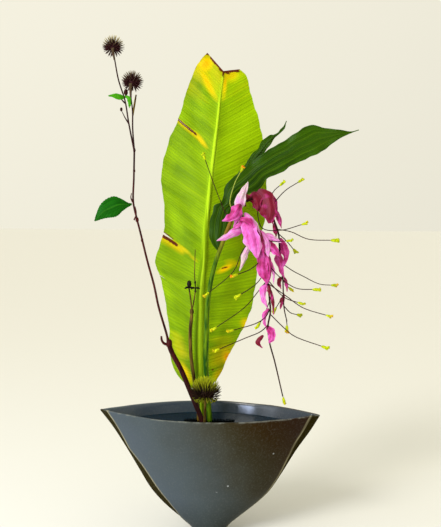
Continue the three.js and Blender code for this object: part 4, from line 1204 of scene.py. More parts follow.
@dataclass
class Kenzan:
    """The round pin holder: a heavy base and close rows of pointed pins, worn lower at the back."""

    radius: float = 38
    base: float = 8
    edge: float = 1.2
    place: tuple[float, float] = (-3, 2)
    bottom: float = 118.3
    top: float = 153.4
    pitch: float = 4.2
    margin: float = 3
    pin: float = 1.0
    tip: float = 0.6
    worn_from: float = 11
    worn_by: float = 5

    def build_base(self) -> Piece:
        """Turns the base, with a rounded edge.

        Returns:
            The base.
        """
        deselect()
        middle = [size * MM for size in (*self.place, self.bottom + self.base / 2)]
        bpy.ops.mesh.primitive_cylinder_add(
            vertices=72, radius=self.radius * MM, depth=self.base * MM, location=middle
        )
        piece = bpy.context.view_layer.objects.active
        bpy.ops.object.transform_apply(location=True, rotation=True, scale=True)
        bevel = piece.modifiers.new("edge", "BEVEL")
        bevel.width = self.edge * MM
        bevel.segments = 3
        bpy.ops.object.modifier_apply(modifier=bevel.name)
        piece.name = "kenzan_base"
        smooth(piece, 40)
        return piece

    def pin_places(self) -> list[tuple[float, float]]:
        """Where the pins stand on the base, in rows that are offset by half a pitch.

        Returns:
            Places from the base's middle, across and back.
        """
        reach = self.radius - self.margin
        rise_of_row = self.pitch * math.sin(math.pi / 3)
        rows = int(reach / rise_of_row)
        places = []
        for row in range(-rows, rows + 1):
            for column in range(-rows - 2, rows + 3):
                x, y = (column + (row % 2) / 2) * self.pitch, row * rise_of_row
                if math.hypot(x, y) <= reach:
                    places.append((x, y))
        return places

    def build_pins(self) -> Piece:
        """Makes one pin and copies it over the base.

        Returns:
            All pins, joined.
        """
        deselect()
        root = self.bottom + self.base - 1
        bpy.ops.mesh.primitive_cone_add(
            vertices=6, radius1=self.pin * MM, radius2=self.tip * MM, depth=(self.top - root) * MM
        )
        model = bpy.context.view_layer.objects.active
        pins = []
        for x, y in self.pin_places():
            pin = model.copy()
            pin.data = model.data.copy()
            place = Vector((x + self.place[0], y + self.place[1], (root + self.top) / 2)) * MM
            for vertex in pin.data.vertices:
                worn = self.worn_by * MM if vertex.co.z > 0 and y > self.worn_from else 0
                vertex.co += place - Vector((0, 0, worn))
            bpy.context.scene.collection.objects.link(pin)
            pins.append(pin)
        bpy.data.objects.remove(model)
        return joined("kenzan_pins", pins)


@dataclass
class BananaLeaf:
    """The tall banana leaf, seen from below: a raised pale rib, close side veins, tears and a dry tip."""

    rows: tuple[tuple[Place, Place, Place], ...] = (
        ((-15, 19, 186), (-20, 21, 188), (-10, 21, 190)),
        ((-15, 19, 198), (-43, 27, 207), (8, 28, 206)),
        ((-15, 19, 225), (-57, 32, 236), (24, 32, 236)),
        ((-15, 20, 262), (-59, 36, 285), (40, 36, 268)),
        ((-14, 20, 300), (-68, 38, 338), (56, 38, 303)),
        ((-12, 20, 335), (-77, 36, 367), (63, 36, 350)),
        ((-10, 20, 372), (-65, 32, 409), (68, 39, 392)),
        ((-8, 20, 405), (-65, 36, 450), (75, 40, 435)),
        ((-4, 20, 445), (-68, 40, 486), (76, 38, 478)),
        ((0, 20, 485), (-59, 38, 531), (73, 40, 520)),
        ((5, 21, 528), (-42, 34, 568), (65, 38, 562)),
        ((10, 22, 570), (-33, 34, 602), (55, 36, 596)),
        ((14, 23, 604), (-18, 32, 636), (47, 32, 622)),
        ((17, 24, 627), (-5, 30, 652), (39, 30, 630)),
    )
    tears: tuple[Tear, ...] = (
        Tear(Side.LEFT, 0.758, 0.5, 0.0006),
        Tear(Side.LEFT, 0.459, 0.74, 0.003),
        Tear(Side.LEFT, 0.334, 0.74, 0.0018),
    )
    browned: tuple[tuple[float, float, float, float], ...] = (
        (0.758, 0.46, 0.003, 0.95),
        (0.4535, 0.6, 0.0045, 1.0),
        (0.463, 0.72, 0.0016, 0.9),
        (0.332, 0.74, 0.0012, 0.6),
    )
    yellowed: tuple[StrongSpot, ...] = (
        ((-6, 637), (13, 14), -30, 1.0), ((-4, 610), (6, 30), 28, 0.75), ((19, 608), (4, 22), -6, 0.9),
        ((28, 622), (14, 13), 10, 1.0), ((-14, 535), (17, 4), -52, 0.8), ((-37, 386), (15, 4), -38, 0.5),
        ((-24, 374), (12, 3), -40, 0.42), ((20, 360), (15, 5), 28, 1.0), ((30, 367), (14, 6), -12, 0.5),
        ((50, 280), (9, 12), 30, 0.8), ((25, 233), (12, 20), 35, 1.0), ((14, 214), (16, 10), 30, 0.7),
        ((-36, 216), (8, 22), 30, 0.7), ((-44, 250), (15, 34), 20, 0.32), ((16, 236), (30, 34), 10, 0.42),
    )
    dried: tuple[Spot, ...] = (
        ((19, 361), (5.5, 1.6), 14), ((51, 272), (3, 4.5), 60), ((28, 229), (3, 6), 50),
        ((2, 219), (1.6, 1.6), 0), ((28, 628), (14, 3), -4), ((18, 629), (11, 6), -30),
        ((9, 640), (3, 12), 42), ((-5, 651), (3.5, 3.5), 0),
    )

    stalk_places: tuple[Place, ...] = ((-16.4, 20, 225), (-16.8, 20, 262), (-15.6, 20, 300), (-14, 20, 335))
    stalk_sizes: tuple[tuple[float, float], ...] = (
        (STEM_FOOT, 5.2), (200, 6.2), (255, 6.5), (325, 5.6), (372, 4.4), (440, 3.0), (627, 1.1),
    )

    lines_along: int = 330
    lines_across: int = 22
    thick: float = 0.7

    def stalk_width(self, heights: Values) -> Values:
        """The stalk's radius at given heights."""
        return np.interp(heights, *zip(*self.stalk_sizes))

    def stalk_radius(self, share: Values) -> Values:
        """The stalk's radius by its share from foot to tip, which rises almost evenly."""
        return self.stalk_width(STEM_FOOT + share * (self.rows[-1][0][2] - STEM_FOOT))

    def lift(self, across: Values, along: Values) -> Values:
        """Broad waves towards the edges, and fine ridges along the side veins.

        Args:
            across: From -1 to 1.
            along: Share along the rib.

        Returns:
            The height over the flat skin, in millimetres.
        """
        wave = 1.6 * np.sin(across * 5) * np.sin(along * 37 + across * 2)
        flutter = 0.7 * np.abs(across) ** 3 * np.sin(along * 95 + 3 * across)
        ridge = 0.2 * np.sin(along * 78 * 2 * np.pi) * np.clip(np.abs(across) * 6, 0, 1)
        return wave + flutter + ridge

    def marks(self, across: Values, along: Values, p: Values) -> dict[str, Values]:
        """Where the blade is yellow and dry, by spots, at its tears and along its margin.

        Args:
            across: From -1 to 1.
            along: Share along the rib.
            p: The places, in millimetres.

        Returns:
            The painted values by name.
        """
        yellow = rise(p[:, 2], 570, 75) * 0.5
        for place, reach, tilt, power in self.yellowed:
            yellow = np.maximum(yellow, spot(p, place, reach, tilt) * power)
        dry = np.zeros(len(p))
        for place, reach, tilt in self.dried:
            dry = np.maximum(dry, spot(p, place, reach, tilt))
        for at, reach_in, width, power in self.browned:
            near = np.exp(-(((along - at) / width) ** 2))
            dry = np.maximum(dry, near * rise(-across, reach_in, 0.05) * power)
            beside = np.exp(-(((along - at + width) / (width * 2.5)) ** 2))
            halo = beside * np.clip((-across - reach_in + 0.2) / 0.2, 0, 0.6)
            yellow = np.maximum(yellow, halo * (power > 0.9))
        ragged = 0.25 + 0.3 * np.sin(along * 150) * np.sin(along * 47 + across)
        rim = rise(np.abs(across), 0.955, 0.03) * ragged * (0.4 + 0.6 * rise(p[:, 2], 560, 40))
        tip = rise(along, 0.985, 0.01) * (0.75 + 0.25 * np.sin(across * 9))
        dry = np.maximum(np.maximum(dry, rim), tip)
        # Painted light: the upper right half of the blade, which faces away from the lights, is lightened.
        far = np.clip(across * 3, 0, 1) * rise(p[:, 2], 330, 160)
        rib = np.exp(-((across / 0.05) ** 2)) * 0.5
        marks = {"yellowing": np.clip(yellow, 0, 1.1), "drying": dry, "rib": rib, "far": far}
        return {**marks, "furrow": np.zeros(len(p))}

    def build_blade(self) -> Piece:
        """The blade, with its tears."""
        size = (self.lines_along, self.lines_across, self.thick)
        return Blade("banana_blade", self.rows, *size, self.lift, self.tears, self.ripple, self.marks).build()

    def build_stalk(self) -> Piece:
        """The stalk that runs on as the rib, with a light ridge and painted shade in the hollows beside it.

        Returns:
            The stalk.
        """
        places = [(-11, 23, STEM_FOOT), (-13, 21, 160), (-16, 20, 196), *self.stalk_places]
        places += [row[0] for row in self.rows[6:]]
        stalk = Stem("banana_stalk", places, self.stalk_radius, 170, 28).build()
        own = read_back(stalk)
        heights = own[:, 2]
        middle = np.array(places)
        aside = (own[:, 0] - np.interp(heights, middle[:, 2], middle[:, 0])) / self.stalk_width(heights)
        ridge = np.exp(-(((aside + 0.02) / 0.15) ** 2))
        right = np.clip((aside - 0.1) / 0.2, 0, 0.4)
        thin = np.clip((heights - 370) / 90, 0, 0.75)
        # Painted shade: the hollows beside the ridge are darkened, more so lower down.
        hollow = np.clip(np.maximum(-aside - 0.16, aside - 0.5) / 0.12, 0, 0.9)
        paint(stalk, "furrow", hollow * np.clip((400 - heights) / 60, 0.3, 1))
        paint(stalk, "rib", np.clip(np.maximum(np.maximum(ridge, right), thin), 0, 1))
        paint_all(stalk, "far", 0)
        paint(stalk, "yellowing", np.clip((heights - 560) / 60, 0, 0.8))
        paint(stalk, "drying", rise(heights, 612, 14))
        return stalk

    def build(self) -> Piece:
        """The blade and its stalk, joined."""
        return joined("banana_leaf_dressed", [self.build_blade(), self.build_stalk()])

    @staticmethod
    def ripple(across: Values, along: Values) -> Values:
        """Small steps in the margin between the veins.

        Args:
            across: From -1 to 1.
            along: Share along the rib.

        Returns:
            How far the blade is stretched sideways.
        """
        step = np.sin(along * 120 + 2 * np.sign(across)) + 0.6 * np.sin(along * 233)
        ends = np.clip(along * 8, 0, 1) * np.clip((1 - along) * 8, 0, 1)
        return 0.005 * step * rise(np.abs(across), 0.6, 0.4) * ends


@dataclass
class GingerShoot:
    """The thick green ginger stem with its two dark leaves."""

    path: tuple[Place, ...] = (
        (-1, 6, STEM_FOOT), (-2.4, 3, 160), (-6.8, 0, 218), (-6.6, -3, 262), (-5.2, -5, 305), (-1, -6, 340),
        (7, -8, 374), (14, -10, 393), (22, -12, 414), (30, -14, 434), (37, -15, 446), (46, -15, 452),
    )
    big_upper: tuple[Place, ...] = (
        (8, -8, 388), (0, -6, 399), (-2, -4, 415), (-1, -4, 430), (3, -4, 439), (5, -4, 447), (14.5, -3, 452),
        (16, -3, 456), (18, -3, 470), (30, -2, 484), (44, -1, 496), (64, 0, 512), (79, 1, 523), (94, 1, 530),
        (108, 2, 541), (123, 3, 549), (132, 4, 554), (155, 4, 550), (170, 4, 547.5), (188, 4, 545.5),
        (197.4, 4, 547.6),
    )
    big_lower: tuple[Place, ...] = (
        (14, -8, 387), (19, -6, 398), (26, -3, 415), (28, -2, 434), (38, -2, 452), (47, -2, 461),
        (54, -2, 463), (67, -1, 471), (75, 0, 482), (93, 1, 491), (109, 2, 500), (126, 3, 509),
        (142, 3, 515), (155, 4, 524), (169, 4, 534), (185, 4, 543), (197.4, 4, 547),
    )
    narrow_upper: tuple[Place, ...] = (
        (24, -11, 426), (26, 4, 460), (38, 8, 493), (47, 9, 502), (54, 9, 514), (61, 9, 521), (70, 9, 534),
        (80, 8, 541), (91, 8, 543.5), (95, 7, 549), (97, 7, 552), (101, 7, 559.6),
    )
    narrow_lower: tuple[Place, ...] = (
        (28, -11, 423), (38, 4, 450), (53, 8, 480), (66, 8, 510), (74, 8, 521), (81, 8, 530), (88, 8, 540),
        (97, 7, 549), (101.4, 7, 559.4),
    )
    thick: float = 0.6
    rib_raised: float = 2.5
    veins: tuple[float, ...] = (-0.42, 0.05, 0.5)

    @staticmethod
    def lift(across: Values, along: Values) -> Values:
        """Long creases, waved edges and fine long veins.

        Args:
            across: From -1 to 1.
            along: Share along the rib.

        Returns:
            The height over the flat skin, in millimetres.
        """
        crease = 0.7 * np.abs(((across * 3 + 0.5 * np.sin(along * 5)) % 2) - 1)
        sway = 1.1 * np.sin(along * 34 + 2 * across) * across
        flutter = 1.2 * np.abs(across) ** 3 * np.sin(along * 66 + 2 * across)
        return crease + sway + flutter + 0.14 * np.sin(across * 40)

    @staticmethod
    def ripple(across: Values, along: Values) -> Values:
        """A margin that waves in and out a little."""
        edge = rise(np.abs(across), 0.5, 0.5)
        return 0.035 * edge * (np.sin(along * 46 + 2 * np.sign(across)) + 0.5 * np.sin(along * 103))

    def marks(self, across: Values, along: Values, p: Values) -> dict[str, Values]:
        """Lighter long creases, and a lighter outer half.

        Args:
            across: From -1 to 1.
            along: Share along the rib.
            p: The places, in millimetres.

        Returns:
            The painted values by name.
        """
        sway = 0.06 * np.sin(along * 6)
        crease = sum(np.exp(-(((across - at + sway) / 0.035) ** 2)) for at in self.veins)
        rib = np.clip(crease, 0, 1) * 0.28 * np.clip(along * 3, 0, 1)
        return {"rib": rib, "far": rise(p[:, 0], 60, 110)}

    def build_leaves(self) -> Piece:
        """Builds both leaves.

        Returns:
            The leaves, joined.
        """
        leaves = []
        for name, upper, lower, along in (
            ("ginger_leaf_big", self.big_upper, self.big_lower, 150),
            ("ginger_leaf_narrow", self.narrow_upper, self.narrow_lower, 90),
        ):
            rows = between(upper, lower, 34, self.rib_raised)
            skin = (self.thick, self.lift, (), self.ripple, self.marks)
            leaves.append(Blade(name, rows, along, 22, *skin).build())
        return joined("ginger_leaves", leaves)

    def build_stem(self) -> Piece:
        """The stem, which turns brownish towards its top.

        Returns:
            The stem.
        """
        stem = Stem("ginger_stem", self.path, lambda s: 4 - 1.6 * s**1.5, 110, 16).build()
        paint(stem, "ripe_and_shade", rise(read_heights(stem), 372, 80))
        return stem


FULL = (0.4, 0.85, 1, 0.95, 0.7, 0.12)


@dataclass(frozen=True)
class Bract:
    """One crumpled bract along a spine, folded like a boat and ruffled at its edge."""

    spine: tuple[Place, ...]
    wide: float
    hue: float
    face: Place = (0, 1, 0)
    keel: float = 0.3
    shape: tuple[float, ...] = (0.3, 0.85, 1, 0.8, 0.45, 0.05)

    def rows(self) -> list[tuple[Place, Place, Place]]:
        """Lays out the bract along its spine, raised into a boat.

        Returns:
            Rib, left and right place of each row.
        """
        path = Route(self.spine).even(len(self.shape) - 1)
        ahead = np.gradient(path, axis=0)
        ahead /= np.linalg.norm(ahead, axis=1, keepdims=True)
        side = np.cross(ahead, self.face)
        side /= np.linalg.norm(side, axis=1, keepdims=True)
        out = np.cross(side, ahead)
        reach = (np.array(self.shape) * self.wide / 2)[:, None]
        raised = path + out * 2 * self.keel * reach
        left, right = raised - side * reach, raised + side * reach
        return [(tuple(a), tuple(b), tuple(c)) for a, b, c in zip(path, left, right)]

    def build(self, index: int) -> Piece:
        """Shapes the bract, with long sharp folds and a wavy edge.

        Args:
            index: Number of the bract, which varies its folds.

        Returns:
            The bract.
        """
        phase = index * 1.7

        def folds(across: Values, share: Values) -> Values:
            """Long pleats from 0 in the valleys to 1 on the ridges."""
            return np.abs(((across * 2.2 + 0.4 * np.sin(share * 4 + phase) + phase) % 2) - 1)

        def lift(across: Values, share: Values) -> Values:
            """Pleats, cross wrinkles and a ruffled edge, all dying out at both ends.

            Args:
                across: From -1 to 1.
                share: Share along the spine.

            Returns:
                The height over the flat skin, in millimetres.
            """
            pleat = -0.09 * self.wide * folds(across, share) + 0.3 * np.sin(share * 17 + 3 * across + phase)
            edge = 0.1 * self.wide * np.abs(across) ** 3 * np.sin(share * 13 + phase + across)
            return (pleat + edge) * np.sin(share * np.pi) ** 0.6

        def ripple(across: Values, share: Values) -> Values:
            """An uneven edge."""
            broad = 0.13 * np.sin(share * 11 + phase + 2 * np.sign(across))
            return np.abs(across) * (broad + 0.06 * np.sin(share * 27))

        def marks(across: Values, share: Values, _: Values) -> dict[str, Values]:
            """Paler edges and tips, painted shade in the valleys, and darker towards the foot.

            Args:
                across: From -1 to 1.
                share: Share along the spine.
                _: The places, which aren't needed.

            Returns:
                The painted values by name.
            """
            edge = np.clip(np.abs(across) - 0.75, 0, 1) * 4
            hue = self.hue + 0.14 * (share - 0.4) + 0.2 * edge * (0.3 + self.hue)
            # Painted shade in the valleys between the pleats; the foot is darker too.
            valley = np.clip(0.28 - folds(across, share), 0, 1) * 2.4 * np.sin(share * np.pi)
            return {"hue": hue, "fold": np.clip(np.maximum(valley, np.clip(1 - share * 7, 0, 1)), 0, 1) * 0.6}

        return Blade("bract", self.rows(), 26, 10, 0.45, lift, (), ripple, marks).build()


def lump(middle: Values, ahead: Values, long: float, round_: float) -> Piece:
    """A small egg that points along a way.

    Args:
        middle: Its middle, in millimetres.
        ahead: The way it points, of length 1.
        long: Its half length.
        round_: Its radius.

    Returns:
        The egg.
    """
    ball, way = new_ball(10, 7)
    across = np.cross(ahead, (0.3, 0.5, 0.81))
    across /= np.linalg.norm(across)
    third = np.cross(ahead, across)
    points = middle + way[:, :1] * across * round_ + way[:, 1:2] * third * round_ + way[:, 2:] * ahead * long
    put(ball, placed(points))
    smooth(ball)
    return ball


@dataclass
class Floret:
    """A small ginger flower as a lumpy bud with curled lobes and a coloured tip."""

    size: float = 1.15

    def build(self, end: Values, before: Values, turn: float, orange: float) -> Piece:
        """Makes the flower at the end of its stalk.

        Args:
            end: Where the stalk ends, in millimetres.
            before: A place on the stalk a little before its end.
            turn: Turn of the lobes round the stalk, in radians.
            orange: How orange the tip is, from 0 to 1.

        Returns:
            The flower.
        """
        ahead = (end - before) / np.linalg.norm(end - before)
        side = np.cross(ahead, (0.1, 0.2, 1.0))
        side /= np.linalg.norm(side)
        up = np.cross(side, ahead)
        eggs = [(end + ahead * 1.5, ahead, 2.8, 1.2, 0.0)]
        for lobe in range(3):
            angle = turn + lobe * 2.6
            way = side * math.cos(angle) + up * math.sin(angle)
            aim = ahead + way * (0.2 + 0.3 * lobe)
            where = end + ahead * (2.2 + lobe * 1.5) + way * (0.7 + 0.25 * lobe)
            eggs.append((where, aim / np.linalg.norm(aim), 1.9, 0.95, orange * 0.3 * lobe))
        eggs.append((end + ahead * 6.2 + up * 0.8, ahead, 1.2, 0.85, orange))
        pieces = []
        for middle, aim, long, round_, tint in eggs:
            pieces.append(lump(middle, aim, long * self.size, round_ * self.size))
            paint_all(pieces[-1], "orange", tint)
        bend = [end + ahead * 3, end + ahead * 5.5 + up * 1.6, end + ahead * 7 + up * 3]
        stamen = Stem("stamen", [tuple(p) for p in bend], taper(0.4, 0.5), 6, 6).build()
        paint_all(stamen, "orange", orange * 0.6)
        return joined("floret", [*pieces, stamen])


@dataclass
class GingerSpray:
    """A hanging spray: a rachis with bracts, and thin stalks that each end in a small flower."""

    name: str
    node: str
    slot: str
    rachis: tuple[Place, ...]
    bracts: tuple[Bract, ...]
    stalks: tuple[tuple[float, tuple[Place, ...]], ...]
    seed: int
    light_stalks: tuple[int, ...] = ()

    def build_bracts(self) -> Piece:
        """All bracts, joined."""
        return joined(f"{self.name}_bracts", [bract.build(i) for i, bract in enumerate(self.bracts)])

    def build_stalks(self) -> Piece:
        """The rachis and the flower stalks, joined.

        Returns:
            The stalks.
        """
        pieces = [Stem("stalk", places, taper(0.7, 0.55), 26, 8).build() for _, places in self.stalks]
        pieces.append(Stem("rachis", self.rachis, taper(1.7, 0.8), 70, 8).build())
        for i, piece in enumerate(pieces):
            paint_all(piece, "ripe_and_shade", float(i in self.light_stalks))
        return joined(f"{self.name}_stalks", pieces)

    def build_flowers(self) -> Piece:
        """The small flowers at the stalks' ends, joined.

        Returns:
            The flowers.
        """
        draw = random.Random(self.seed)
        flowers = []
        for orange, places in self.stalks:
            path = Route(places).even(30)
            floret = Floret(draw.uniform(1.35, 1.9))
            flowers.append(floret.build(path[-1], path[-3], draw.uniform(0, 6), orange))
        return joined(f"{self.name}_flowers", flowers)


WINE_SPRAY = GingerSpray(
    name="wine",
    node="ginger_spray_wine",
    slot="wine_bract",
    rachis=(
        (47, -15, 452.5), (56, -15, 457), (66, -15, 458), (76, -14, 448), (85, -13, 425), (90, -13, 410),
        (92, -13, 384), (96, -13, 351), (98, -13, 311), (102, -13, 292),
    ),
    bracts=(
        Bract(((53, -15, 456), (46, -16, 459), (43, -17, 452), (47, -17, 446)), 9, 0.02),
        Bract(((58, -15, 466), (57, -18, 458), (60, -19, 450), (62, -18, 440)), 18, 0.03, (0.3, 1, 0.3)),
        Bract(
            ((62, -15, 467), (71, -18, 456), (76, -20, 440), (78, -18, 424)),
            24, 0.02, (0.2, 1, 0.1), 0.1, FULL,
        ),
        Bract(((68, -13, 466), (80, -13, 456), (85, -14, 443), (86, -13, 432)), 12, 0.2, (0, 1, 0)),
        Bract(((72, -16, 444), (77, -20, 437), (81, -20, 430), (82, -18, 423)), 9, 0.02, (0.2, 1, 0)),
        Bract(((84, -12, 444), (91, -12, 431), (94, -13, 417)), 8, 0.22, (-0.6, 1, 0)),
        Bract(((84, -13, 424), (86, -13, 414), (87, -14, 405)), 6, 0.2),
        Bract(((92, -12, 404), (97, -15, 393), (100, -16, 381), (97, -15, 366)), 10, 0.24),
        Bract(((91, -13, 389), (90, -16, 377), (93, -17, 364), (98, -15, 351)), 10, 0.28, (0.2, 1, 0)),
        Bract(((95, -12, 352), (91, -13, 346), (94, -14, 336)), 6, 0.2),
        Bract(((98, -12, 352), (101, -13, 343), (102, -13, 332)), 4.5, 0.26),
        Bract(((98, -12, 328), (95, -14, 318), (93, -14, 309)), 6, 0.18),
    ),
    stalks=(
        (0.0, ((76, -14, 452), (84, -13, 467), (93, -12, 475))),
        (0.1, ((80, -14, 446), (98, -6, 466), (119, 8, 479))),
        (0.2, ((64, -15, 456), (62, -17, 440), (68, -20, 418), (92, -20, 415), (122, -20, 423))),
        (0.0, ((88, -13, 416), (106, -20, 413), (128, -30, 404), (160, -40, 403))),
        (0.0, ((90, -13, 410), (101, -4, 400), (113, 12, 386))),
        (0.6, ((93, -13, 372), (108, -7, 361), (124, 0, 352), (148, 10, 340), (166, 14, 338))),
        (0.4, ((96, -13, 349), (101, -8, 341), (106, -4, 336))),
        (0.1, ((98, -13, 330), (92, -10, 318), (87, -8, 309))),
        (0.0, ((98, -13, 313), (107, -4, 303), (119, 8, 298))),
        (0.7, ((101, -13, 296), (102, -13, 289), (102, -13, 284))),
    ),
    seed=4,
)

ORCHID_SPRAY = GingerSpray(
    name="orchid",
    node="ginger_spray_orchid",
    slot="orchid_bract",
    rachis=(
        (35, -16, 442), (41, -24, 434), (50, -27, 425), (60, -28, 412), (68, -28, 387), (73, -28, 363),
        (78, -28, 323), (79, -28, 307), (76, -28, 289), (78, -28, 267), (85, -28, 241), (96, -28, 194),
    ),
    bracts=(
        Bract(((35, -24, 437), (37, -27, 452), (43, -30, 466), (49, -29, 479)), 13, 0.9, (0.3, 1, 0)),
        Bract(((39, -29, 450), (35, -34, 444), (28, -35, 434), (15, -34, 428)), 14, 0.34, (0, 1, -0.2)),
        Bract(((38, -26, 446), (38, -29, 436), (34, -30, 428), (30, -29, 420)), 8, 0.5),
        Bract(((44, -28, 438), (50, -31, 431), (58, -33, 421), (66, -33, 406)), 9, 0.75, (0, 1, 0.4)),
        Bract(((47, -28, 416), (34, -33, 413), (22, -34, 407), (8, -34, 402)), 12, 0.66, (0, 1, 0.4)),
        Bract(((44, -30, 426), (36, -34, 420), (28, -34, 416)), 9, 0.3, (0, 1, 0.6)),
        Bract(
            ((43, -31, 430), (49, -36, 418), (56, -39, 400), (61, -37, 380)),
            21, 0.52, (0.1, 1, 0), 0.12, FULL,
        ),
        Bract(((38, -31, 428), (44, -36, 428), (52, -37, 424), (58, -35, 416)), 11, 0.3, (0, 1, 0.5)),
        Bract(((56, -31, 424), (63, -35, 410), (68, -36, 396), (70, -34, 380)), 9, 0.1, (-0.3, 1, 0)),
        Bract(((63, -30, 416), (72, -32, 404), (75, -33, 391), (76, -31, 376)), 11, 0.72, (-0.2, 1, 0)),
        Bract(((53, -27, 400), (47, -29, 388), (43, -31, 376), (38, -31, 362)), 8, 0.92),
        Bract(((66, -27, 406), (76, -28, 408), (85, -27, 404), (93, -27, 399)), 11, 0.7, (0, 1, -0.5)),
        Bract(((68, -28, 402), (76, -30, 396), (84, -31, 390), (91, -30, 381)), 13, 0.32, (0, 1, -0.2)),
        Bract(
            ((70, -29, 392), (67, -33, 378), (69, -34, 362), (74, -32, 345)),
            14, 0.26, (0.1, 1, 0), 0.15, FULL,
        ),
        Bract(((72, -29, 392), (76, -33, 376), (78, -33, 360), (75, -31, 345)), 9, 0.26, (-0.4, 1, 0)),
        Bract(((80, -28, 374), (83, -29, 360), (83, -28, 344)), 4, 0.7),
        Bract(((75, -28, 346), (68, -31, 336), (69, -33, 326), (75, -32, 313)), 9, 0.5, (0.3, 1, 0)),
        Bract(((77, -28, 344), (78, -30, 336), (78, -30, 328)), 6, 0.05, (-0.5, 1, 0)),
        Bract(((80, -27, 336), (83, -28, 320), (83, -27, 303)), 5, 0.14, (-0.6, 1, 0)),
        Bract(((77, -28, 312), (71, -30, 303), (71, -31, 294), (74, -30, 286)), 5.5, 0.38),
        Bract(
            ((75, -28, 288), (80, -30, 281), (81, -31, 273), (77, -30, 266)),
            10, 0.36, (0, 1, 0), 0.1, FULL,
        ),
        Bract(((70, -29, 276), (64, -30, 270), (63, -30, 265), (69, -29, 259)), 6, 0.05),
        Bract(((52, -26, 420), (58, -22, 404), (62, -22, 388)), 14, 0.5, (0, -1, 0)),
        Bract(((66, -27, 396), (68, -22, 380), (70, -22, 362)), 12, 0.4, (0, -1, 0)),
    ),
    stalks=(
        (0.0, ((37, -21, 439), (22, -24, 436), (12, -22, 456), (-8, -17, 510))),
        (0.9, ((37, -21, 439), (26, -24, 448), (31, -22, 475), (40, -20, 493))),
        (0.0, ((64, -28, 404), (85, -32, 401), (101, -34, 402))),
        (0.1, ((70, -28, 378), (90, -34, 355), (112, -36, 340), (137, -36, 338))),
        (0.1, ((75, -28, 350), (97, -40, 328), (116, -50, 322))),
        (0.5, ((76, -28, 345), (99, -40, 330), (120, -50, 316), (151, -60, 307))),
        (0.0, ((79, -28, 304), (95, -38, 289), (109, -44, 278), (147, -54, 265))),
        (0.8, ((70, -28, 380), (54, -36, 366), (33, -44, 358))),
        (0.4, ((62, -28, 408), (44, -27, 392), (30, -25, 361), (-4, -22, 331))),
        (0.0, ((73, -28, 362), (60, -31, 345), (38, -32, 330))),
        (0.2, ((75, -28, 350), (64, -27, 336), (46, -26, 314), (6, -24, 285))),
        (0.3, ((79, -28, 312), (72, -34, 301), (60, -40, 294), (28, -50, 286))),
        (0.2, ((76, -28, 290), (66, -34, 282), (45, -40, 274), (10, -46, 260))),
        (0.0, ((78, -28, 322), (70, -25, 300), (64, -24, 290))),
        (0.2, ((90, -28, 220), (94, -28, 203), (97, -28, 190))),
    ),
    seed=9,
    light_stalks=(1,),
)


@dataclass
class TeaselBranch:
    """The tall maroon branch with its knots, fork, withered twigs and stub."""

    main: tuple[Place, ...] = (
        (-5, -10, STEM_FOOT), (-7, -10, 140), (-12, -9, 156), (-28, -8, 196), (-40, -8, 225), (-54, -8, 253),
        (-60, -8, 276), (-70, -8, 311), (-76, -8, 340), (-85, -8, 374), (-94, -8, 412), (-99, -8, 432),
        (-103, -8, 452), (-102, -8, 484), (-101, -8, 523),
    )
    left_fork: tuple[Place, ...] = (
        (-101, -8, 518), (-108, -8, 555), (-113, -8, 586), (-121, -9, 612), (-126, -10, 640),
    )
    right_fork: tuple[Place, ...] = ((-101, -8, 518), (-103, -8, 548), (-103, -9, 572), (-105, -10, 590))
    stub: tuple[Place, ...] = ((-57, -8, 260), (-63, -10, 262), (-66, -11, 267), (-66.5, -11, 272))
    knots: tuple[tuple[Place, float], ...] = (
        ((-56, -8, 261), 4.8), ((-98, -8, 428), 2.6), ((-101, -8, 520), 2.0), ((-118, -6, 574), 2.0),
        ((-111.5, -9, 596), 3.2), ((-101.5, -8, 493), 1.9), ((-91.6, -8, 401), 2.0),
    )
    twigs: tuple[tuple[Place, ...], ...] = (
        ((-102, -8, 428), (-99, -10, 436), (-100, -11, 446)),
        ((-104, -8, 452), (-106, -10, 458), (-105, -10, 464)),
        ((-108, -8, 555), (-113, -7, 563), (-118, -6, 573)),
        ((-113, -8, 582), (-118, -6, 588), (-119, -5, 594)),
        ((-114, -8, 588), (-112, -9, 592), (-111.5, -9, 596)),
    )

    @staticmethod
    def main_radius(share: Values) -> Values:
        """Thick below the lowest knot and thin above it."""
        thin = 1.8 - 0.6 * share
        return thin + (3.4 - thin) * np.clip((0.37 - share) / 0.02, 0, 1)

    def build(self) -> Piece:
        """Makes the stems, twigs and knots.

        Returns:
            The branch, riper towards its top, and with painted shade towards its foot.
        """
        pieces = [Stem("main", self.main, self.main_radius, 150, 14).build()]
        for fork in (self.left_fork, self.right_fork):
            pieces.append(Stem("fork", fork, taper(1.2, 0.95), 50, 10).build())
        pieces.append(Stem("stub", self.stub, taper(2.4, 1.3), 16, 10).build())
        for twig in self.twigs:
            pieces.append(Stem("twig", twig, taper(1.1, 0.4), 20, 8).build())
        for place, radius in self.knots:
            pieces.append(knot(place, radius))
        piece = joined("teasel_stem_dressed", pieces)
        heights = read_heights(piece)
        # Riper towards the top; painted shade towards the foot, low in the vase.
        paint(piece, "ripe_and_shade", np.clip(np.maximum((heights - 430) / 150, (225 - heights) / 40), 0, 0.7))
        return piece


def knot(place: Place, radius: float) -> Piece:
    """A swollen joint of a stem, with a ragged skin.

    Args:
        place: Its middle, in millimetres.
        radius: Its radius.

    Returns:
        The knot.
    """
    ball, way = new_ball(20, 12)
    rough = 1 + 0.1 * np.sin(way[:, 0] * 9 + 2) * np.sin(way[:, 2] * 11) + 0.06 * np.sin(way[:, 1] * 17)
    points = way * rough[:, None] * np.array([0.85, 0.85, 1.3]) * radius + np.array(place)
    put(ball, placed(points))
    smooth(ball)
    return ball


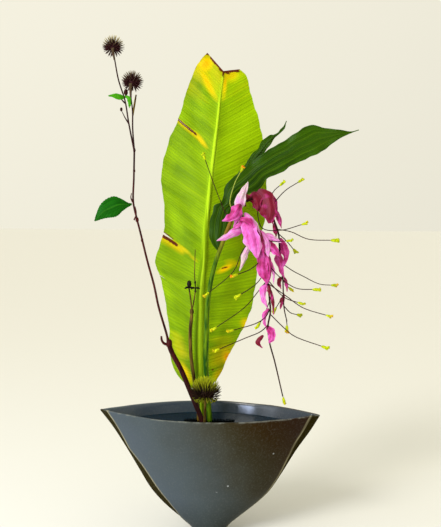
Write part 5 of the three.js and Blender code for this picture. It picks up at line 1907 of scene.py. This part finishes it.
@dataclass
class ToothedLeaf:
    """A small green leaf with a toothed edge."""

    node: str
    rows: tuple[tuple[Place, Place, Place], ...]
    teeth: int

    def lift(self, across: Values, along: Values) -> Values:
        """Side veins that sink and an edge that curls."""
        veins = 0.3 * np.sin((along - 0.25 * np.abs(across)) * self.teeth * 1.2 * np.pi) * np.abs(across)
        return veins + 0.8 * np.abs(across) ** 3 * np.sin(along * 14)

    def build(self) -> Piece:
        """The leaf, with its edge drawn in between the teeth."""
        skin = (72, 12, 0.6, self.lift, (), self.ripple, self.marks)
        return Blade(f"{self.node}_dressed", self.rows, *skin).build()

    def ripple(self, across: Values, along: Values) -> Values:
        """Saw teeth that point to the tip."""
        return 0.07 * ((along * self.teeth) % 1) * np.clip((np.abs(across) - 0.8) * 5, 0, 1)

    @staticmethod
    def marks(across: Values, along: Values, p: Values) -> dict[str, Values]:
        """A faint rib."""
        return {"rib": np.exp(-((across / 0.06) ** 2)) * 0.3, "far": np.zeros(len(p))}


LEAVES = (
    ToothedLeaf(
        "teasel_leaf_large",
        between(
            ((-105, -9, 448), (-111, -12, 445), (-117, -15, 440), (-124, -17, 434), (-139, -19, 431),
             (-153, -20, 427)),
            ((-105, -9, 450), (-110, -12, 451), (-117, -15, 455.5), (-127, -18, 459.5), (-137, -19, 456),
             (-145, -20, 449), (-150, -20, 439), (-153.4, -20, 427.6)),
            14,
            1.5,
        ),
        18,
    ),
    ToothedLeaf(
        "teasel_leaf_small",
        between(
            ((-114, -9, 588), (-120.5, -12, 586.3), (-127.3, -13, 589), (-134, -14, 590.9)),
            ((-114, -9, 590.5), (-118, -12, 593), (-123.5, -13, 594), (-130, -14, 593), (-134.2, -14, 591.3)),
            9,
            0.8,
        ),
        8,
    ),
    ToothedLeaf(
        "teasel_leaf_hanging",
        between(
            ((-112, -11, 589), (-109.5, -12, 587), (-108.5, -13, 582), (-106.8, -14, 575.5)),
            ((-112, -11, 592), (-107.5, -12, 591), (-104.7, -13, 587), (-104.6, -13, 581),
             (-106.6, -14, 575.2)),
            9,
            0.8,
        ),
        8,
    ),
)


@dataclass
class SpinyHead:
    """A head of close, slightly bent spines over a core that they stand out of."""

    node: str
    centre: Place
    spine: float
    seed: int
    core: Place = (6, 6, 5.5)
    reach: float = 15.6
    count: int = 120
    lean: float = 0.05
    lowest: float = -0.97
    neck: tuple[Place, ...] = ()
    curled: int = 0
    green: bool = False
    pale: float = 1.0
    droop: float = 0.04
    bare: float = 0.88

    def build(self) -> Piece:
        """Makes the core, the spines, the neck and the curled bracts.

        Returns:
            The head, with no spines where its neck enters.
        """
        middle = np.array(self.centre, float)
        draw = random.Random(self.seed)
        pieces = [self.build_core(middle)]
        below = np.array(self.neck[-1]) - middle if self.neck else np.array([0.0, 0.0, -1.0])
        below /= np.linalg.norm(below)
        for i in range(self.count):
            height = 1 - (i + 0.5) / self.count * (1 - self.lowest)
            ring = math.sqrt(1 - height * height)
            angle = i * GOLDEN + draw.uniform(-0.1, 0.1)
            way = np.array([ring * math.cos(angle), ring * math.sin(angle), height])
            if way @ below < self.bare:
                pieces.append(self.build_spine(middle, way, draw))
        if self.neck:
            pieces.append(Stem("neck", self.neck, taper(1.2, 2.1), 10, 12).build())
            paint_all(pieces[-1], "tip", 0.12)
        for i in range(self.curled):
            pieces.append(self.build_curled(middle, i, draw))
            paint_all(pieces[-1], "tip", 0.3)
        return joined(f"{self.node}_dressed", pieces)

    def build_spine(self, middle: Values, way: Values, draw: random.Random) -> Piece:
        """One blunt spine.

        Args:
            middle: The head's middle.
            way: The way it points, of length 1.
            draw: The head's seeded draws.

        Returns:
            The spine, with its tip painted.
        """
        ring = math.hypot(way[0], way[1])
        root = middle + way * np.array(self.core) * 0.8
        ahead = way + np.array([0, 0, self.lean * ring])
        ahead /= np.linalg.norm(ahead)
        tip = middle + ahead * self.reach * draw.uniform(0.88, 1.0)
        bend = (root + tip) / 2 + np.array([0, 0, -self.droop * self.reach * ring])
        radius = self.spine * draw.uniform(0.85, 1.1)
        places = (tuple(root), tuple(bend), tuple(tip))
        spine = Stem("spine", places, lambda s: radius * (1.04 - s) ** 0.45, 5, 4).build()
        away = read_back(spine) - middle
        tips = np.clip((np.linalg.norm(away, axis=1) / self.reach - 0.55) / 0.4, 0, 1)
        above = np.clip(away[:, 2] / self.reach * 1.5 + 0.1, 0, 1)
        if self.green:
            above = np.clip((away[:, 2] / self.reach - 0.15) * 1.9, 0, 1)
            tips = 0.45 + 0.55 * tips
        paint(spine, "tip", tips * above * self.pale)
        return spine

    def build_core(self, middle: Values) -> Piece:
        """The rounded core under the spines.

        Args:
            middle: The head's middle.

        Returns:
            The core.
        """
        ball, way = new_ball(24, 16)
        put(ball, placed(way * np.array(self.core) + middle))
        smooth(ball)
        return ball

    def build_curled(self, middle: Values, index: int, draw: random.Random) -> Piece:
        """One dry bract under the head that curls up again.

        Args:
            middle: The head's middle.
            index: Number of the bract round the head.
            draw: The head's seeded draws.

        Returns:
            The bract.
        """
        angle = 2 * math.pi * index / self.curled
        out = np.array([math.cos(angle), math.sin(angle), 0])
        reach = 18 + draw.uniform(-1.5, 0.5)
        steps = ((6, -7), (13, -13), (reach, -8))
        places = [tuple(middle + out * away + (0, 0, up)) for away, up in steps]
        return Stem("curled", places, taper(1.5, 0.4), 10, 6).build()


HEADS = (
    SpinyHead(
        "teasel_head_left", (-127.4, -10, 655.6), 0.84, 3,
        neck=((-126, -10, 638), (-127, -13, 646), (-127.5, -18, 652)),
    ),
    SpinyHead(
        "teasel_head_right", (-102.6, -10, 610), 0.9, 5,
        neck=((-105, -10, 588), (-104.8, -15, 598), (-104.4, -22, 606)), pale=0.3,
    ),
    SpinyHead(
        "low_head", (-7, -33, 201.5), 0.85, 11, core=(10, 10, 10), reach=22.4, count=200,
        lean=0.4, lowest=-0.7, curled=14, green=True, droop=0.12,
    ),
)


@dataclass
class ShortBranch:
    """The short olive branch with a round bud, its bracts and a side twig."""

    main: tuple[Place, ...] = (
        (-17, 8, STEM_FOOT), (-18, 7, 174), (-23, 6, 210), (-27, 5, 240), (-28, 4, 276), (-26, 4, 301),
        (-27, 4, 317), (-30, 3, 338),
    )
    twig: tuple[Place, ...] = ((-27, 4, 299), (-23, 3, 318), (-21, 3, 334), (-22, 2, 353), (-21, 2, 388))
    buds: tuple[tuple[Place, float], ...] = (
        ((-26, 4, 303), 3.4), ((-29.3, 3, 341), 3.6), ((-21, 3, 331), 1.7), ((-21.2, 3, 343), 1.6),
    )
    collars: tuple[tuple[float, float], ...] = ((-29.3, 335.5), (-21, 335))

    @staticmethod
    def main_radius(share: Values) -> Values:
        """Thick below the node and thin above it."""
        return 2.4 - 1.4 * rise(share, 0.8, 0.04)

    @staticmethod
    def build_bract(middle: float, height: float, side: int) -> Piece:
        """One small bract that spreads from under a bud.

        Args:
            middle: Where it starts, across.
            height: Where it starts, up.
            side: -1 to spread to the left and 1 to the right.

        Returns:
            The bract.
        """
        end = (middle + 6 * side, 1, height - 0.6)
        places = ((middle, 3, height), (middle + 3 * side, 1.5, height + 1), end)
        return Stem("short_bract", places, lambda s: 0.5 + 0.9 * np.sin(s * 2.8), 10, 6).build()

    def build(self) -> Piece:
        """Makes the stems, the buds and the small bracts.

        Returns:
            The branch, darker at its buds.
        """
        pieces = [
            Stem("short_main", self.main, self.main_radius, 90, 12).build(),
            Stem("short_twig", self.twig, taper(1.0, 0.5), 40, 8).build(),
        ]
        pieces += [knot(place, radius) for place, radius in self.buds]
        pieces += [self.build_bract(*collar, side) for collar in self.collars for side in (-1, 1)]
        piece = joined("teasel_branch_short_dressed", pieces)
        p = read_back(piece)
        dark = np.clip(1 - np.abs(p[:, 2] - 339) / 11, 0, 1) * 3
        paint(piece, "ripe_and_shade", np.clip(dark * ((p[:, 0] < -25.6) | (np.abs(p[:, 2] - 337) < 7)), 0, 1))
        return piece


@dataclass(frozen=True)
class Lamp:
    """One soft light: a sun whose width is an angle, in radians, or a square whose width is in metres."""

    name: str
    kind: str
    place: Place
    aim: Place
    width: float
    power: float
    colour: Colour

    def build(self) -> None:
        """Hangs the light at its place, in millimetres on the display side, and points it."""
        data = bpy.data.lights.new(self.name, self.kind)
        if self.kind == "SUN":
            data.angle = self.width
        else:
            data.size = self.width
        data.energy = self.power
        data.color = self.colour[:3]
        lamp = bpy.data.objects.new(self.name, data)
        bpy.context.scene.collection.objects.link(lamp)
        start, end = placed(np.array([self.place, self.aim], float))
        lamp.location = start
        lamp.rotation_euler = Vector(end - start).to_track_quat("-Z", "Y").to_euler()


@dataclass
class Studio:
    """The pale floor, the soft lights and the camera at the photo's angle."""

    focal: float = 1000
    image_width: float = 441
    distance: float = 1340
    height: float = 493
    aside: float = 13
    pitch: float = math.atan(92.5 / 1000)
    sensor: float = 36
    bright_side: Place = (-0.55, 0.55, 0.62)
    bright: float = 1.02
    dim: float = 0.44
    lamps: tuple[Lamp, ...] = (
        Lamp("key", "SUN", (-900, -1100, 1300), (0, 0, 330), math.radians(22), 1.5, shade(255, 250, 240)),
        Lamp("window", "AREA", (-1000, -900, 900), (0, 0, 120), 1.1, 8, shade(226, 238, 255)),
        Lamp("low_window", "AREA", (-1230, -1450, 460), (40, 50, 155), 0.45, 15, shade(206, 222, 255)),
    )

    def build_floor(self) -> None:
        """A wide pale floor."""
        deselect()
        bpy.ops.mesh.primitive_plane_add(size=14)
        floor = bpy.context.view_layer.objects.active
        floor.name = "studio_floor"
        mix = Recipe("studio_floor_finish")
        mix.set(Base_Color=shade(231, 230, 223), Roughness=0.9)
        floor.data.materials.append(mix.material)

    def build_world(self) -> None:
        """A warm pale surround, brightest up behind the object at the left and dimmer in front."""
        world = bpy.data.worlds.new("studio_world")
        world.use_nodes = True
        tree = world.node_tree
        back = tree.nodes["Background"]
        back.inputs["Color"].default_value = shade(250, 246, 228)
        way = tree.nodes.new("ShaderNodeTexCoord")
        lean = tree.nodes.new("ShaderNodeVectorMath")
        lean.operation = "DOT_PRODUCT"
        lean.inputs[1].default_value = self.bright_side
        share = tree.nodes.new("ShaderNodeMapRange")
        share.inputs["From Min"].default_value = -1
        share.inputs["To Min"].default_value = self.dim
        share.inputs["To Max"].default_value = self.bright
        tree.links.new(way.outputs["Generated"], lean.inputs[0])
        tree.links.new(lean.outputs["Value"], share.inputs["Value"])
        tree.links.new(share.outputs["Result"], back.inputs["Strength"])
        bpy.context.scene.world = world

    def build_camera(self) -> None:
        """The camera, level across and tipped a little down."""
        data = bpy.data.cameras.new("studio_camera")
        data.sensor_fit = "HORIZONTAL"
        data.sensor_width = self.sensor
        data.lens = self.focal / self.image_width * self.sensor
        camera = bpy.data.objects.new("studio_camera", data)
        bpy.context.scene.collection.objects.link(camera)
        camera.location = placed(np.array([[self.aside, -self.distance, self.height]], float))[0]
        camera.rotation_euler = (math.pi / 2 - self.pitch, 0, FRONT_TURN)
        bpy.context.scene.camera = camera

    def build(self) -> None:
        """Sets the whole studio."""
        self.build_floor()
        self.build_world()
        for lamp in self.lamps:
            lamp.build()
        self.build_camera()
        bpy.context.scene.view_settings.view_transform = "Standard"
        log.info("studio ready")


SEPAL = Stem(
    "teasel_sepal",
    ((-103, -8, 562), (-101, -9, 576), (-98, -10, 593)),
    lambda s: 0.5 + 0.8 * np.sin(s * 2.6), 24, 8,
)
LOW_STEM = Stem(
    "low_head_stem_dressed",
    ((-8, -22, STEM_FOOT), (-8, -27, 160), (-7, -33, 190.5)),
    taper(1.9, 1.7), 30, 12,
)


def main() -> None:
    """Builds the studio and every piece in order, and reports each one."""
    logging.basicConfig(level=logging.INFO, format="%(name)s: %(message)s")
    Studio().build()

    vase = Vase()
    dress(vase.build(), StonewareGlaze().make(), "stoneware", "vase")
    dress(vase.water(WATER_LEVEL), StillWater().make(), "water", "water")

    kenzan = Kenzan()
    dress(kenzan.build_base(), LEAD_BASE.make(), "lead", "kenzan")
    dress(kenzan.build_pins(), DARK_PINS.make(), "lead", "kenzan")

    dress(BananaLeaf().build(), BananaSkin().make(), "banana_leaf", "banana_leaf")

    shoot = GingerShoot()
    dress(shoot.build_leaves(), GINGER_LEAF.make(), "ginger_green", "ginger_shoot")
    dress(shoot.build_stem(), GINGER_STEM.make(), "ginger_green", "ginger_shoot")

    petal = SoftPetal().make()
    stalk = FLOWER_STALK.make()
    flower = SMALL_FLOWER.make()
    for spray in (WINE_SPRAY, ORCHID_SPRAY):
        dress(spray.build_bracts(), petal, spray.slot, spray.node)
        dress(spray.build_stalks(), stalk, spray.slot, spray.node)
        dress(spray.build_flowers(), flower, spray.slot, spray.node)

    olive = OLIVE_BARK.make()
    dress(TeaselBranch().build(), MAROON_BARK.make(), "maroon_stem", "teasel_stem")
    sepal = SEPAL.build()
    paint_all(sepal, "ripe_and_shade", 0)
    dress(sepal, olive, "maroon_stem", "teasel_stem")
    fresh = FRESH_LEAF.make()
    young = YOUNG_LEAF.make()
    for leaf in LEAVES:
        dress(leaf.build(), fresh if leaf.teeth > 10 else young, "fresh_leaf", leaf.node)

    dry_head = DRY_HEAD.make()
    fresh_head = FRESH_HEAD.make()
    for head in HEADS:
        finish = fresh_head if head.green else dry_head
        dress(head.build(), finish, "low_head" if head.green else "seed_head", head.node)

    dress(ShortBranch().build(), olive, "olive_stem", "teasel_branch_short")
    low_stem = LOW_STEM.build()
    paint_all(low_stem, "ripe_and_shade", 0)
    dress(low_stem, olive, "olive_stem", "low_head_stem")

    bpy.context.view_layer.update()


if __name__ == "__main__":
    main()
